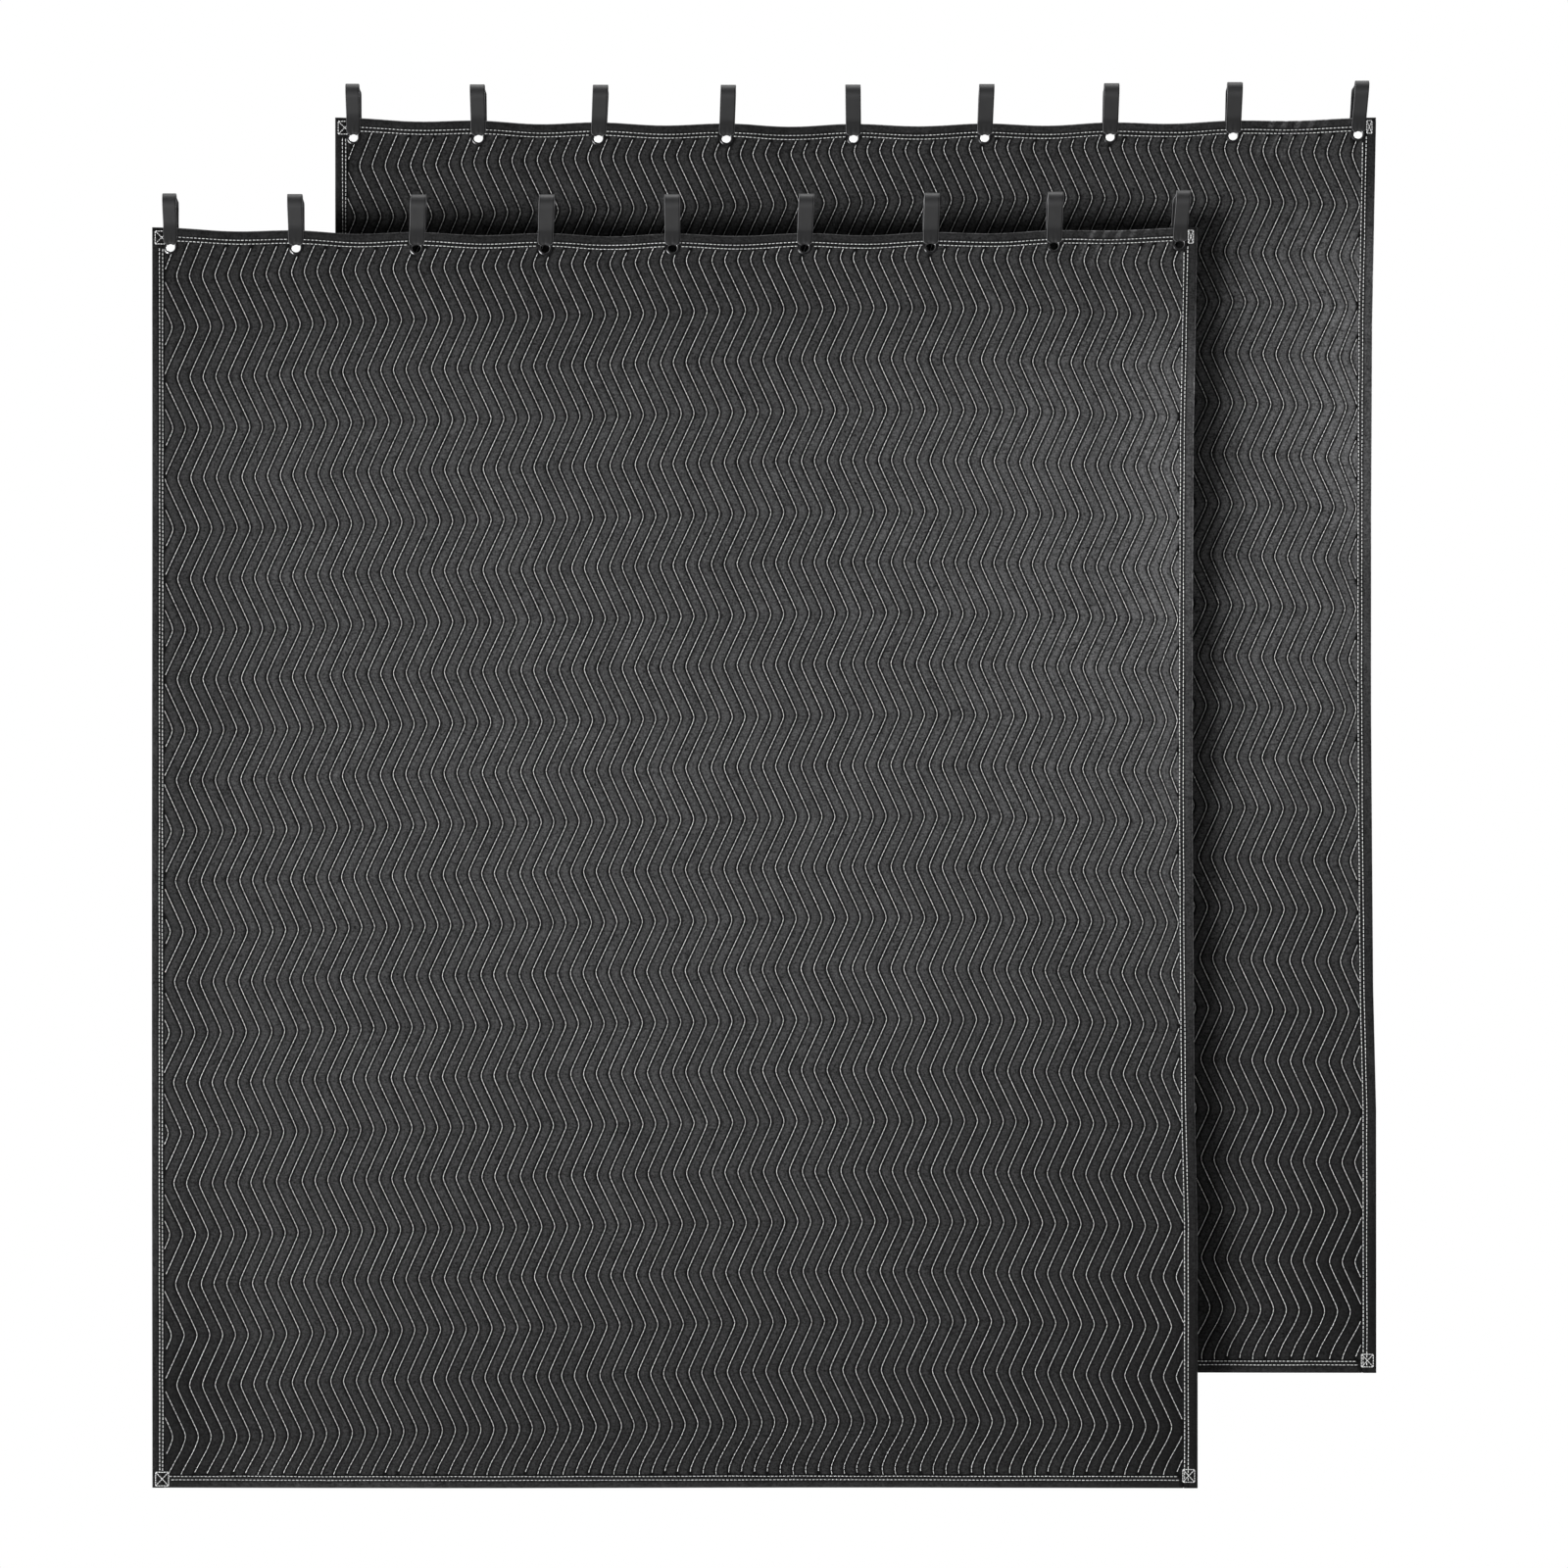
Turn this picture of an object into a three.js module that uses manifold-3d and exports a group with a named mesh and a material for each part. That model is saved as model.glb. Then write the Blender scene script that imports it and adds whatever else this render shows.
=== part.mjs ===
// Two quilted sound blankets that hang one behind the other, each from nine webbing loops.
// Millimetres. +X is right, +Y is away from the viewer, +Z is up.
// The origin is the middle of the front blanket's hanging line, inside its loops.

import * as THREE from 'three';
import { mergeVertices } from 'three/addons/utils/BufferGeometryUtils.js';
import Module from 'manifold-3d';

const wasm = await Module();
wasm.setup();

// Blanket, as it hangs.
const WIDTH = 2032;
const HEIGHT = 2438; // at mid-width, from the top edge to the bottom edge
const EDGE_DROP = 57; // the top edge at mid-width, below the hanging line
const EDGE_RISE = 11.5; // how much higher the top edge is at the end straps
const REAR_SHIFT = new THREE.Vector3(352, 70, 219); // the second blanket, seen from the first

// Hanging line: it dips at mid-width and stands a little higher at the right.
const LINE_TILT = 3;
const LINE_BOW = 4.6;

// Cloth thicknesses, each from the middle of the cloth to a face.
const EDGE_HALF = 1.6; // pressed flat inside a binding
const GROOVE_HALF = 1.9; // along a quilting line
const CREST_HALF = 3.9; // between two quilting lines
const BACK_HALF = 3.2;

// Bindings: strips folded over the edges.
const BINDING_WIDTH = 27;
const BINDING_HALF = 3.2;
const SLOT_HALF = 2;
const FOLD_WALL = 1.4; // cloth of the strip at the fold
const EDGE_GAP = 0.4; // from the fold to the panel's own edge
const JOIN_GAP = 0.9; // between the ends of the top and bottom strips and the side strips
const BORDER = BINDING_WIDTH + 1; // where the panel starts to swell

// Quilting: upright zigzag lines. The solid has every turn of a line, and one channel
// for each two or three of the real ones.
const TURN_COUNT = 24;
const FIRST_TURN_Z = -138;
const TURN_PITCH = 98;
const SWING = 20.75; // sideways, from the middle of a line to each turn
const ARCH_PEAK = 0.68; // share of the width where the turns stand highest
const ARCH_RIGHT = 0.6; // their height at the right edge, as a share of the peak
const ARCH_RISE = 30;
const ARCH_RISE_TOP = 8; // more than that at the top
const COLUMNS_PER_BAY = 8;
const COLUMNS_PER_KNOT = 2;

// Straps and eyelets.
const STRAP_WIDTH = 30;
const STRAP_THICKNESS = 1.8;
const LOOP_RADIUS = 18; // inside of the loop at its top
const LOOP_LENGTH = 105; // from the top of the loop to the eyelet's middle
const FOOT_RISE = 1; // a leg turns towards the rod this much above the blanket's edge
const LOOP_SPANS = 6; // over the top of the loop
const EYELET_HOLE_RADIUS = 8.5;
const EYELET_RADIUS = 14;
const EYELET_FRONT = 4.2; // around its hole, from the middle of the cloth
const EYELET_BACK = 3.6; // behind, and in front at its outer edge
const EYELET_SIDES = 12;
const CUT_GAP = 0.3;

// One row for each strap: where its eyelet is, how far its top leans right, and for the
// bay on its right how deep the edge dips and how far the cloth bows back.
const STRAPS = [
  { x: -980, lean: -2, dip: 4.5, bow: -3 },
  { x: -736, lean: -2, dip: 5, bow: 2 },
  { x: -502, lean: 3.5, dip: 5, bow: -2.5 },
  { x: -252, lean: 3, dip: 5.5, bow: 3 },
  { x: -4, lean: -1, dip: 5, bow: -2 },
  { x: 252, lean: 3.5, dip: 5, bow: 2.5 },
  { x: 497, lean: 2.5, dip: 4.5, bow: -3 },
  { x: 737, lean: 3, dip: 2.5, bow: 3.5 },
  { x: 981, lean: 6.5, dip: 0, bow: 0 },
];

// A strap's leg at its eyelet, from inside the hole upwards: out is past the face of the
// eyelet, up is from the eyelet's middle, half is half the width of the gathered webbing.
const PASSAGE = { up: 5.4, half: 4 };
const LEG = [
  { out: -0.7, up: 5.8, half: 4 },
  { out: 0.8, up: 9.5, half: 9 },
  { out: 0, up: 15, half: STRAP_WIDTH / 2 },
];

// The right edge is drawn in where the cloth curls. down is a share of the height.
const RIGHT_EDGE = [
  { down: 0, inset: 0 },
  { down: 0.16, inset: 7.5 },
  { down: 0.31, inset: 9 },
  { down: 0.47, inset: 9 },
  { down: 0.69, inset: 5.5 },
  { down: 0.79, inset: 0 },
  { down: 1, inset: 0 },
];

// Slow waves of the hanging cloth: none at the top, full from half height down.
const SWAY = 7;
const SWAY_LENGTH = 1500; // from one wave to the next across the blanket
const SWAY_SLANT = 2600; // and down it
const SWAY_FULL_SHARE = 0.5; // of the height
const BAY_FADE = 600; // below this depth the bows between the straps are gone

const HALF_WIDTH = WIDTH / 2;
const BOTTOM_Z = -EDGE_DROP - HEIGHT;
const END_STRAP_X = STRAPS[STRAPS.length - 1].x;
const STRAP_HALF = STRAP_THICKNESS / 2;

const cloth = new THREE.MeshStandardMaterial({ color: 0x3d3d3f, roughness: 0.95, metalness: 0 });
const bindingCloth = new THREE.MeshStandardMaterial({ color: 0x2b2b2d, roughness: 0.9, metalness: 0 });
const webbing = new THREE.MeshStandardMaterial({ color: 0x46464a, roughness: 0.75, metalness: 0 });
const blackMetal = new THREE.MeshStandardMaterial({ color: 0x0c0c0d, roughness: 0.35, metalness: 0.8 });

// The value at a place, on straight lines between stations that are in rising order.
function between(stations, values, place) {
  const last = stations.length - 1;
  if (place <= stations[0]) return values[0];
  if (place >= stations[last]) return values[last];
  const right = stations.findIndex((station) => station > place);
  const share = (place - stations[right - 1]) / (stations[right] - stations[right - 1]);
  return THREE.MathUtils.lerp(values[right - 1], values[right], share);
}

// Columns of the quilting, evenly spaced between each strap and the next.
function bayColumns(count) {
  const columns = [];
  for (let bay = 0; bay < STRAPS.length - 1; bay++) {
    for (let step = 0; step < count; step++) {
      columns.push(THREE.MathUtils.lerp(STRAPS[bay].x, STRAPS[bay + 1].x, step / count));
    }
  }
  return [...columns, END_STRAP_X];
}

// A rise and fall over each bay, as deep as the strap table says.
function overBays(x, column) {
  const next = STRAPS.findIndex((strap) => strap.x > x);
  if (next < 1) return 0;
  const left = STRAPS[next - 1];
  const share = (x - left.x) / (STRAPS[next].x - left.x);
  return left[column] * Math.sin(Math.PI * share) ** 2;
}

const COLUMN_X = bayColumns(COLUMNS_PER_BAY);
const KNOT_X = [-HALF_WIDTH, ...bayColumns(COLUMNS_PER_BAY / COLUMNS_PER_KNOT), HALF_WIDTH];
const STRAP_X = STRAPS.map((strap) => strap.x);
const TURN_Z = Array.from({ length: TURN_COUNT }, (_, turn) => FIRST_TURN_Z - TURN_PITCH * turn);

function hangingLineZ(x) {
  const share = x / END_STRAP_X;
  return LINE_TILT * share + LINE_BOW * share ** 2;
}

function freeEdgeZ(x) {
  return -EDGE_DROP + EDGE_RISE * (x / END_STRAP_X) ** 2 - overBays(x, 'dip');
}

const KNOT_EDGE_Z = KNOT_X.map(freeEdgeZ);
const KNOT_BOW = KNOT_X.map((x) => overBays(x, 'bow'));

// Heights at which the hanging form is set, from the bottom up.
const KNOT_Z = [BOTTOM_Z, ...TURN_Z.filter((_, turn) => turn % 2 === 1).reverse(), KNOT_EDGE_Z[0]];

function depthShare(z) {
  return (-EDGE_DROP - z) / HEIGHT;
}

function sway(x, z) {
  const grown = THREE.MathUtils.clamp(depthShare(z) / SWAY_FULL_SHARE, 0, 1);
  const size = SWAY * Math.sin(Math.PI / 2 * grown);
  return size * Math.sin(2 * Math.PI * (x / SWAY_LENGTH + z / SWAY_SLANT));
}

const KNOT_SWAY = KNOT_Z.map((z) => STRAP_X.map((x) => sway(x, z)));
const KNOT_FADE = KNOT_Z.map((z) => Math.max(0, 1 + (z + EDGE_DROP) / BAY_FADE));
const KNOT_INSET = KNOT_Z.map((z) => {
  const downs = RIGHT_EDGE.map((row) => row.down);
  return between(downs, RIGHT_EDGE.map((row) => row.inset), depthShare(z));
});

function edgeZ(x) {
  return between(KNOT_X, KNOT_EDGE_Z, x);
}

function rightEdgeX(z) {
  return HALF_WIDTH - between(KNOT_Z, KNOT_INSET, z);
}

// How far the middle of the cloth stands back at a place on the blanket.
function clothY(x, z) {
  const swayed = between(KNOT_Z, KNOT_SWAY.map((row) => between(STRAP_X, row, x)), z);
  return swayed + between(KNOT_X, KNOT_BOW, x) * between(KNOT_Z, KNOT_FADE, z);
}

function archRise(x, z) {
  const across = (x + HALF_WIDTH) / WIDTH;
  const side = across < ARCH_PEAK
    ? ((ARCH_PEAK - across) / ARCH_PEAK) ** 2
    : (1 - ARCH_RIGHT) * ((across - ARCH_PEAK) / (1 - ARCH_PEAK)) ** 2;
  return (ARCH_RISE + ARCH_RISE_TOP * (1 - depthShare(z)) ** 2) * (1 - side);
}

// Closed bodies are gathered as points and triangles, and turned outwards at the end.
class Body {
  constructor() {
    this.points = [];
    this.triangles = [];
  }

  add(point) {
    this.points.push(point);
    return this.points.length - 1;
  }

  // Joins two rows of points that start and end side by side.
  stitch(a, b, flip = false) {
    let i = 0;
    let k = 0;
    while (i < a.ids.length - 1 || k < b.ids.length - 1) {
      const nextA = i < a.ids.length - 1 ? a.at[i + 1] : Infinity;
      const nextB = k < b.ids.length - 1 ? b.at[k + 1] : Infinity;
      const onA = nextA <= nextB;
      const third = onA ? a.ids[i + 1] : b.ids[k + 1];
      this.triangles.push(flip ? [third, a.ids[i], b.ids[k]] : [a.ids[i], third, b.ids[k]]);
      if (onA) i += 1;
      else k += 1;
    }
  }

  geometry() {
    let volume = 0;
    for (const [a, b, c] of this.triangles) {
      volume += this.points[a].dot(this.points[b].clone().cross(this.points[c]));
    }
    const turned = volume < 0 ? this.triangles.map(([a, b, c]) => [a, c, b]) : this.triangles;
    const geometry = new THREE.BufferGeometry();
    const places = this.points.flatMap((point) => point.toArray());
    geometry.setAttribute('position', new THREE.Float32BufferAttribute(places, 3));
    geometry.setIndex(turned.flat());
    return geometry;
  }
}

// A body through rings of points: open with two caps, or closed into a loop with none.
function skin(rings, contour) {
  const body = new Body();
  const sides = rings[0].length;
  const ids = rings.map((ring) => ring.map((point) => body.add(point)));
  const spans = contour ? rings.length - 1 : rings.length;
  for (let r = 0; r < spans; r++) {
    const here = ids[r];
    const there = ids[(r + 1) % rings.length];
    for (let s = 0; s < sides; s++) {
      const t = (s + 1) % sides;
      body.triangles.push([here[s], here[t], there[t]], [here[s], there[t], there[s]]);
    }
  }
  if (contour) {
    const last = ids[rings.length - 1];
    const forwards = !THREE.ShapeUtils.isClockWise(contour);
    for (const [a, b, c] of THREE.ShapeUtils.triangulateShape(contour, [])) {
      const [p, q] = forwards ? [b, c] : [c, b];
      body.triangles.push([ids[0][a], ids[0][q], ids[0][p]], [last[a], last[p], last[q]]);
    }
  }
  return body.geometry();
}

function toSolid(geometry) {
  const bare = geometry.clone();
  bare.deleteAttribute('normal');
  bare.deleteAttribute('uv');
  const merged = mergeVertices(bare, 1e-4);
  return new wasm.Manifold(new wasm.Mesh({
    numProp: 3,
    vertProperties: new Float32Array(merged.attributes.position.array),
    triVerts: new Uint32Array(merged.index.array),
  }));
}

function fromSolid(solid) {
  const mesh = solid.getMesh();
  const geometry = new THREE.BufferGeometry();
  geometry.setAttribute('position', new THREE.Float32BufferAttribute(mesh.vertProperties, 3));
  geometry.setIndex(Array.from(mesh.triVerts));
  return geometry;
}

function eyeletCentre(strap) {
  const z = hangingLineZ(strap.x) + LOOP_RADIUS + STRAP_THICKNESS - LOOP_LENGTH;
  return new THREE.Vector3(strap.x, clothY(strap.x, z), z);
}

// Takes the nine eyelets' seats out of a body.
function cutEyeletSeats(geometry) {
  const radius = EYELET_RADIUS + CUT_GAP;
  const length = 8 * EYELET_FRONT; // well past both faces
  let solid = toSolid(geometry);
  for (const strap of STRAPS) {
    const at = eyeletCentre(strap);
    const seat = new THREE.CylinderGeometry(radius, radius, length, EYELET_SIDES);
    solid = solid.subtract(toSolid(seat.translate(at.x, at.y, at.z)));
  }
  return fromSolid(solid);
}

// The quilted panel: zigzag channels raised on its face, and a plain back.
function panelGeometry() {
  const body = new Body();
  const edge = FOLD_WALL + EDGE_GAP;
  const inner = COLUMN_X.slice(1, -1);
  const turnRows = TURN_Z.map((z, turn) => ({ z, shift: turn % 2 ? SWING : -SWING }));

  // Columns of one row, from the left edge to the right edge, at a height for each x.
  const columns = (inside, z) => {
    const right = rightEdgeX(z);
    return [-HALF_WIDTH + edge, -HALF_WIDTH + BORDER, ...inside, right - BORDER, right - edge];
  };
  const place = (x, z, half) => body.add(new THREE.Vector3(x, clothY(x, z) + half, z));
  const byCount = ({ ids }) => ({ ids, at: ids.map((_, i) => i) });

  const topRow = (inside, down, half) => {
    const xs = columns(inside, edgeZ(HALF_WIDTH) - down);
    return { ids: xs.map((x) => place(x, edgeZ(x) - down, half)), at: xs };
  };
  const bottomRow = (inside, up, half) => {
    const xs = columns(inside, BOTTOM_Z + up);
    return { ids: xs.map((x) => place(x, BOTTOM_Z + up, half)), at: xs };
  };
  const inQuilting = (xs, i) => i > 1 && i < xs.length - 2;
  const turnRow = ({ z, shift }) => {
    const xs = columns(inner, z);
    const ids = xs.map((x, i) => {
      if (!inQuilting(xs, i)) return place(x, z, -EDGE_HALF);
      const half = i % 2 ? GROOVE_HALF : CREST_HALF;
      return place(x + shift, z + archRise(x, z), -half);
    });
    return { ids, at: xs };
  };
  const front = [
    topRow(inner, edge, -EDGE_HALF),
    topRow(inner, BORDER, -EDGE_HALF),
    ...turnRows.map(turnRow),
    bottomRow(inner, BORDER, -EDGE_HALF),
    bottomRow(inner, edge, -EDGE_HALF),
  ];

  const fine = KNOT_X.slice(2, -2);
  const coarse = STRAP_X.slice(1, -1);
  const backRow = (z) => {
    const xs = columns(coarse, z);
    return { ids: xs.map((x, i) => place(x, z, inQuilting(xs, i) ? BACK_HALF : EDGE_HALF)), at: xs };
  };
  const back = [
    topRow(fine, edge, EDGE_HALF),
    topRow(fine, BORDER, EDGE_HALF),
    ...KNOT_Z.slice(1, -1).reverse().map(backRow),
    bottomRow(coarse, BORDER, EDGE_HALF),
    bottomRow(coarse, edge, EDGE_HALF),
  ];

  for (let row = 0; row < front.length - 1; row++) {
    body.stitch(byCount(front[row]), byCount(front[row + 1]), true);
  }
  for (let row = 0; row < back.length - 1; row++) {
    body.stitch(back[row], back[row + 1]);
  }
  const side = (rows, column) => {
    const ids = rows.map((row) => row.ids.at(column));
    return { ids, at: ids.map((id) => -body.points[id].z) };
  };
  body.stitch(front[0], back[0]);
  body.stitch(front.at(-1), back.at(-1), true);
  body.stitch(side(front, 0), side(back, 0), true);
  body.stitch(side(front, -1), side(back, -1));
  return body.geometry();
}

// A binding's section: in is measured from the blanket's edge towards its middle.
const SECTION = [
  { in: 0, y: -BINDING_HALF },
  { in: BINDING_WIDTH, y: -BINDING_HALF },
  { in: BINDING_WIDTH, y: -SLOT_HALF },
  { in: FOLD_WALL, y: -SLOT_HALF },
  { in: FOLD_WALL, y: SLOT_HALF },
  { in: BINDING_WIDTH, y: SLOT_HALF },
  { in: BINDING_WIDTH, y: BINDING_HALF },
  { in: 0, y: BINDING_HALF },
];
const SECTION_CONTOUR = SECTION.map((corner) => new THREE.Vector2(corner.in, corner.y));

function lyingBinding(xs, zAt) {
  return skin(xs.map((x) => SECTION.map((corner) => {
    const z = zAt(x, corner.in);
    return new THREE.Vector3(x, clothY(x, z) + corner.y, z);
  })), SECTION_CONTOUR);
}

function topBinding() {
  const end = HALF_WIDTH - BINDING_WIDTH - JOIN_GAP;
  const xs = [-end, ...KNOT_X.slice(1, -1), end];
  return cutEyeletSeats(lyingBinding(xs, (x, inwards) => edgeZ(x) - inwards));
}

function bottomBinding() {
  const end = HALF_WIDTH - BINDING_WIDTH - JOIN_GAP;
  return lyingBinding([-end, ...STRAP_X, end], (x, inwards) => BOTTOM_Z + inwards);
}

// side is -1 for the left binding and 1 for the right one.
function sideBinding(side) {
  return cutEyeletSeats(skin(KNOT_Z.map((z, knot) => SECTION.map((corner) => {
    const outer = side < 0 ? -HALF_WIDTH : rightEdgeX(z);
    const x = outer - side * corner.in;
    const ownZ = knot === KNOT_Z.length - 1 ? edgeZ(x) : z;
    return new THREE.Vector3(x, clothY(outer, z) + corner.y, ownZ);
  })), SECTION_CONTOUR));
}

function eyeletGeometry() {
  const profile = [
    new THREE.Vector2(EYELET_HOLE_RADIUS, -EYELET_FRONT),
    new THREE.Vector2(EYELET_RADIUS, -EYELET_BACK),
    new THREE.Vector2(EYELET_RADIUS, EYELET_BACK),
    new THREE.Vector2(EYELET_HOLE_RADIUS, EYELET_BACK),
  ];
  return new THREE.LatheGeometry([...profile, profile[0].clone()], EYELET_SIDES);
}

// The middle line of one strap in the upright plane, as a closed loop of { y, z, half }.
function strapLoop(strap) {
  const centre = eyeletCentre(strap);
  const lineZ = hangingLineZ(strap.x);
  const radius = LOOP_RADIUS + STRAP_HALF;
  const clear = EYELET_FRONT + CUT_GAP + STRAP_HALF;
  const foot = { y: clear, z: edgeZ(strap.x) + FOOT_RISE, half: STRAP_WIDTH / 2 };

  // The legs leave the top arc where it turns towards the blanket's edge.
  const reach = Math.hypot(foot.y, lineZ - foot.z);
  const tangent = Math.atan2(lineZ - foot.z, foot.y) - Math.acos(radius / reach);
  const arc = Array.from({ length: LOOP_SPANS + 1 }, (_, step) => {
    const angle = -tangent + (Math.PI + 2 * tangent) * (step / LOOP_SPANS);
    return { y: radius * Math.cos(angle), z: lineZ + radius * Math.sin(angle), half: STRAP_WIDTH / 2 };
  });

  const leg = LEG.map(({ out, up, half }) => ({ y: clear + out, z: centre.z + up, half }));
  leg.push(foot);
  const onSide = (side) => (point) => ({ ...point, y: centre.y + side * point.y });
  return [
    { y: centre.y, z: centre.z + PASSAGE.up, half: PASSAGE.half },
    ...leg.map(onSide(1)),
    ...arc,
    ...leg.map(onSide(-1)).reverse(),
  ];
}

function strapGeometry(strap) {
  const loop = strapLoop(strap);
  const centre = eyeletCentre(strap);
  const rise = hangingLineZ(strap.x) - centre.z;
  return skin(loop.map((point, i) => {
    const before = loop.at(i - 1);
    const after = loop[(i + 1) % loop.length];
    const along = new THREE.Vector2(after.y - before.y, after.z - before.z).normalize();
    const x = strap.x + strap.lean * Math.max(0, (point.z - centre.z) / rise);
    const corner = (sideways, out) => new THREE.Vector3(
      x + sideways * point.half,
      point.y + out * STRAP_HALF * along.y,
      point.z - out * STRAP_HALF * along.x,
    );
    return [corner(-1, -1), corner(1, -1), corner(1, 1), corner(-1, 1)];
  }));
}

// One blanket's pieces by name, each with its geometry and material.
function blanketPieces() {
  const pieces = [
    { name: 'panel', geometry: cutEyeletSeats(panelGeometry()), material: cloth },
    { name: 'binding_top', geometry: topBinding(), material: bindingCloth },
    { name: 'binding_bottom', geometry: bottomBinding(), material: bindingCloth },
    { name: 'binding_left', geometry: sideBinding(-1), material: bindingCloth },
    { name: 'binding_right', geometry: sideBinding(1), material: bindingCloth },
  ];
  const ring = eyeletGeometry();
  STRAPS.forEach((strap, i) => {
    const at = eyeletCentre(strap);
    pieces.push({ name: `strap_${i + 1}`, geometry: strapGeometry(strap), material: webbing });
    pieces.push({ name: `eyelet_${i + 1}`, geometry: ring, material: blackMetal, at });
  });
  return pieces;
}

const pair = new THREE.Group();
const pieces = blanketPieces();
for (const blanket of [{ name: 'front', shift: new THREE.Vector3() }, { name: 'rear', shift: REAR_SHIFT }]) {
  const hung = new THREE.Group();
  hung.position.copy(blanket.shift);
  for (const piece of pieces) {
    const mesh = new THREE.Mesh(piece.geometry, piece.material);
    mesh.name = `${blanket.name}_${piece.name}`;
    if (piece.at) mesh.position.copy(piece.at);
    hung.add(mesh);
  }
  pair.add(hung);
}

export default pair;
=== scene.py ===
# Two quilted sound blankets that hang one behind the other, each from nine webbing loops.
# Sizes are in millimetres until a mesh is made, which is in metres.
# +X is right, +Y is away from the viewer, +Z is up.

import math

import bmesh
import bpy
import numpy as np
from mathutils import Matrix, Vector


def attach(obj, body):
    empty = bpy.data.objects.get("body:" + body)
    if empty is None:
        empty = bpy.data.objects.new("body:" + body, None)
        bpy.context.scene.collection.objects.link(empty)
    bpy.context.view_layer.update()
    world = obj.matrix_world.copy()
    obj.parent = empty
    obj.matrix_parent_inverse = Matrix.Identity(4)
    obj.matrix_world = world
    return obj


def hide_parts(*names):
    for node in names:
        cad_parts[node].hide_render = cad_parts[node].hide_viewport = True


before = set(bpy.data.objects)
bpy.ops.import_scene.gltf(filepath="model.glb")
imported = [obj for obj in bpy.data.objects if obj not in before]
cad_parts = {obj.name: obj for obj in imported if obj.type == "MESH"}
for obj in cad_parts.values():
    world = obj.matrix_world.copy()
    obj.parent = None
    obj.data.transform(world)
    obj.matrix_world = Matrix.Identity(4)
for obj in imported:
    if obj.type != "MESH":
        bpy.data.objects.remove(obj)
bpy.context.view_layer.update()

MM = 0.001

# The blanket as it hangs.
WIDTH = 2032
HEIGHT = 2438
HALF_WIDTH = WIDTH / 2
EDGE_DROP = 57
EDGE_RISE = 11.5
TOP_Z = -EDGE_DROP
BOTTOM_Z = -EDGE_DROP - HEIGHT
REAR_SHIFT = (352, 70, 219)
LINE_TILT = 3
LINE_BOW = 4.6
END_STRAP_X = 981

# One row for each strap: its eyelet, how far its top leans right, for the bay on its right
# how deep the edge dips and how far the cloth bows back, then how far the strap's rear leg
# shows to the right of its front leg, and half the front leg's width as it is seen.
STRAPS = [
    (-980, -2, 4.5, -3, 1.4, 13.3),
    (-736, -2, 5, 2, 2, 14.6),
    (-502, 3.5, 5, -2.5, 1, 15),
    (-252, 3, 5.5, 3, 0.4, 15),
    (-4, -1, 5, -2, 0, 15),
    (252, 3.5, 5, 2.5, -0.4, 15),
    (497, 2.5, 4.5, -3, -1.2, 15),
    (737, 3, 2.5, 3.5, -1.8, 15),
    (981, 6.5, 0, 0, -3.4, 13.8),
]
STRAP_X = np.array([row[0] for row in STRAPS], float)
BAY_DIP = np.array([row[2] for row in STRAPS], float)
BAY_BOW = np.array([row[3] for row in STRAPS], float)

# The right edge is drawn in where the cloth curls: share of the height, and how far.
RIGHT_EDGE = [(0, 0), (0.16, 7.5), (0.31, 9), (0.47, 9), (0.69, 5.5), (0.79, 0), (1, 0)]

SWAY = 7
SWAY_LENGTH = 1500
SWAY_SLANT = 2600
BAY_FADE = 600

# Cloth thicknesses, each from the middle of the cloth to a face.
EDGE_HALF = 1.6
GROOVE_HALF = 1.9
CREST_HALF = 3.7
BACK_GROOVE_HALF = 1.7
BACK_CREST_HALF = 3.4
EYELET_PRESS = 3.0
# The swell of the padding by the share of a pitch away from the line that pulls it in.
PUFF = [(0, 0), (0.13, 0.74), (0.32, 1), (0.5, 1)]

BINDING_WIDTHS = {"top": 27, "bottom": 26, "left": 23.6, "right": 27}
BINDING_HALF = 3.2
FOLD_WALL = 1.4
EDGE_GAP = 0.4
JOIN_GAP = 0.9
CLOTH_INSET = FOLD_WALL + EDGE_GAP

# Quilting lines: upright zigzags, all sewn side by side.
LINE_COUNT = 80
LINE_PITCH = 25
FIRST_LINE_X = -987.5
SWING = 20.75
FIRST_TURN_Z = -138
TURN_PITCH = 98
TURN_COUNT = 24
# How far the lines have crept to the right: share of the height, then at the left edge, at
# three tenths, just past the middle and at the right edge.
LINE_CREEP = [
    (0, 14, 9, 5, 3),
    (0.2, 17, 10.5, 4, 3.5),
    (0.4, 15.5, 9.5, 4, 0.5),
    (0.6, 11, 5.5, 3, 2.5),
    (0.72, 8, 6.5, 4.5, 6),
    (0.85, 13, 11, 7.5, 7),
    (1, 17, 17.5, 13, 7.5),
]
CREEP_ACROSS = (0.05, 0.3, 0.55, 0.95)
# The turns stand higher towards the right: share of the width, and share of the peak.
TURN_ARCH = [
    (0, -0.08), (0.1, 0.02), (0.16, 0.2), (0.25, 0.38), (0.45, 0.67), (0.6, 0.92), (0.7, 1),
    (0.8, 0.94), (1, 0.5),
]
ARCH_PEAK = [(0, 37), (0.5, 27), (0.75, 23.5), (0.85, 25), (1, 32)]

# Straps and eyelets.
STRAP_THICKNESS = 1.6
WEBBING_HALF = 15
FOOT_OUT = 5.4
LOOP_RADIUS = 18.9
EYELET_BELOW_LINE = 85.2
EYELET_HOLE = 8.5
EYELET_RADIUS = 14
CLOTH_HOLE = 9.4
LIP_RADIUS = 9.4

# Stitches.
STITCH_STEP = 8.5
STITCH_GAP = 0.9
SEAM_STEP = 7.6
SEAM_GAP = 2.0
THREAD_WIDTH = 1.15
SEAM_THREAD_WIDTH = 1.6
THREAD_RISE = 0.75
THREAD_LIFT = 0.25
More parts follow.
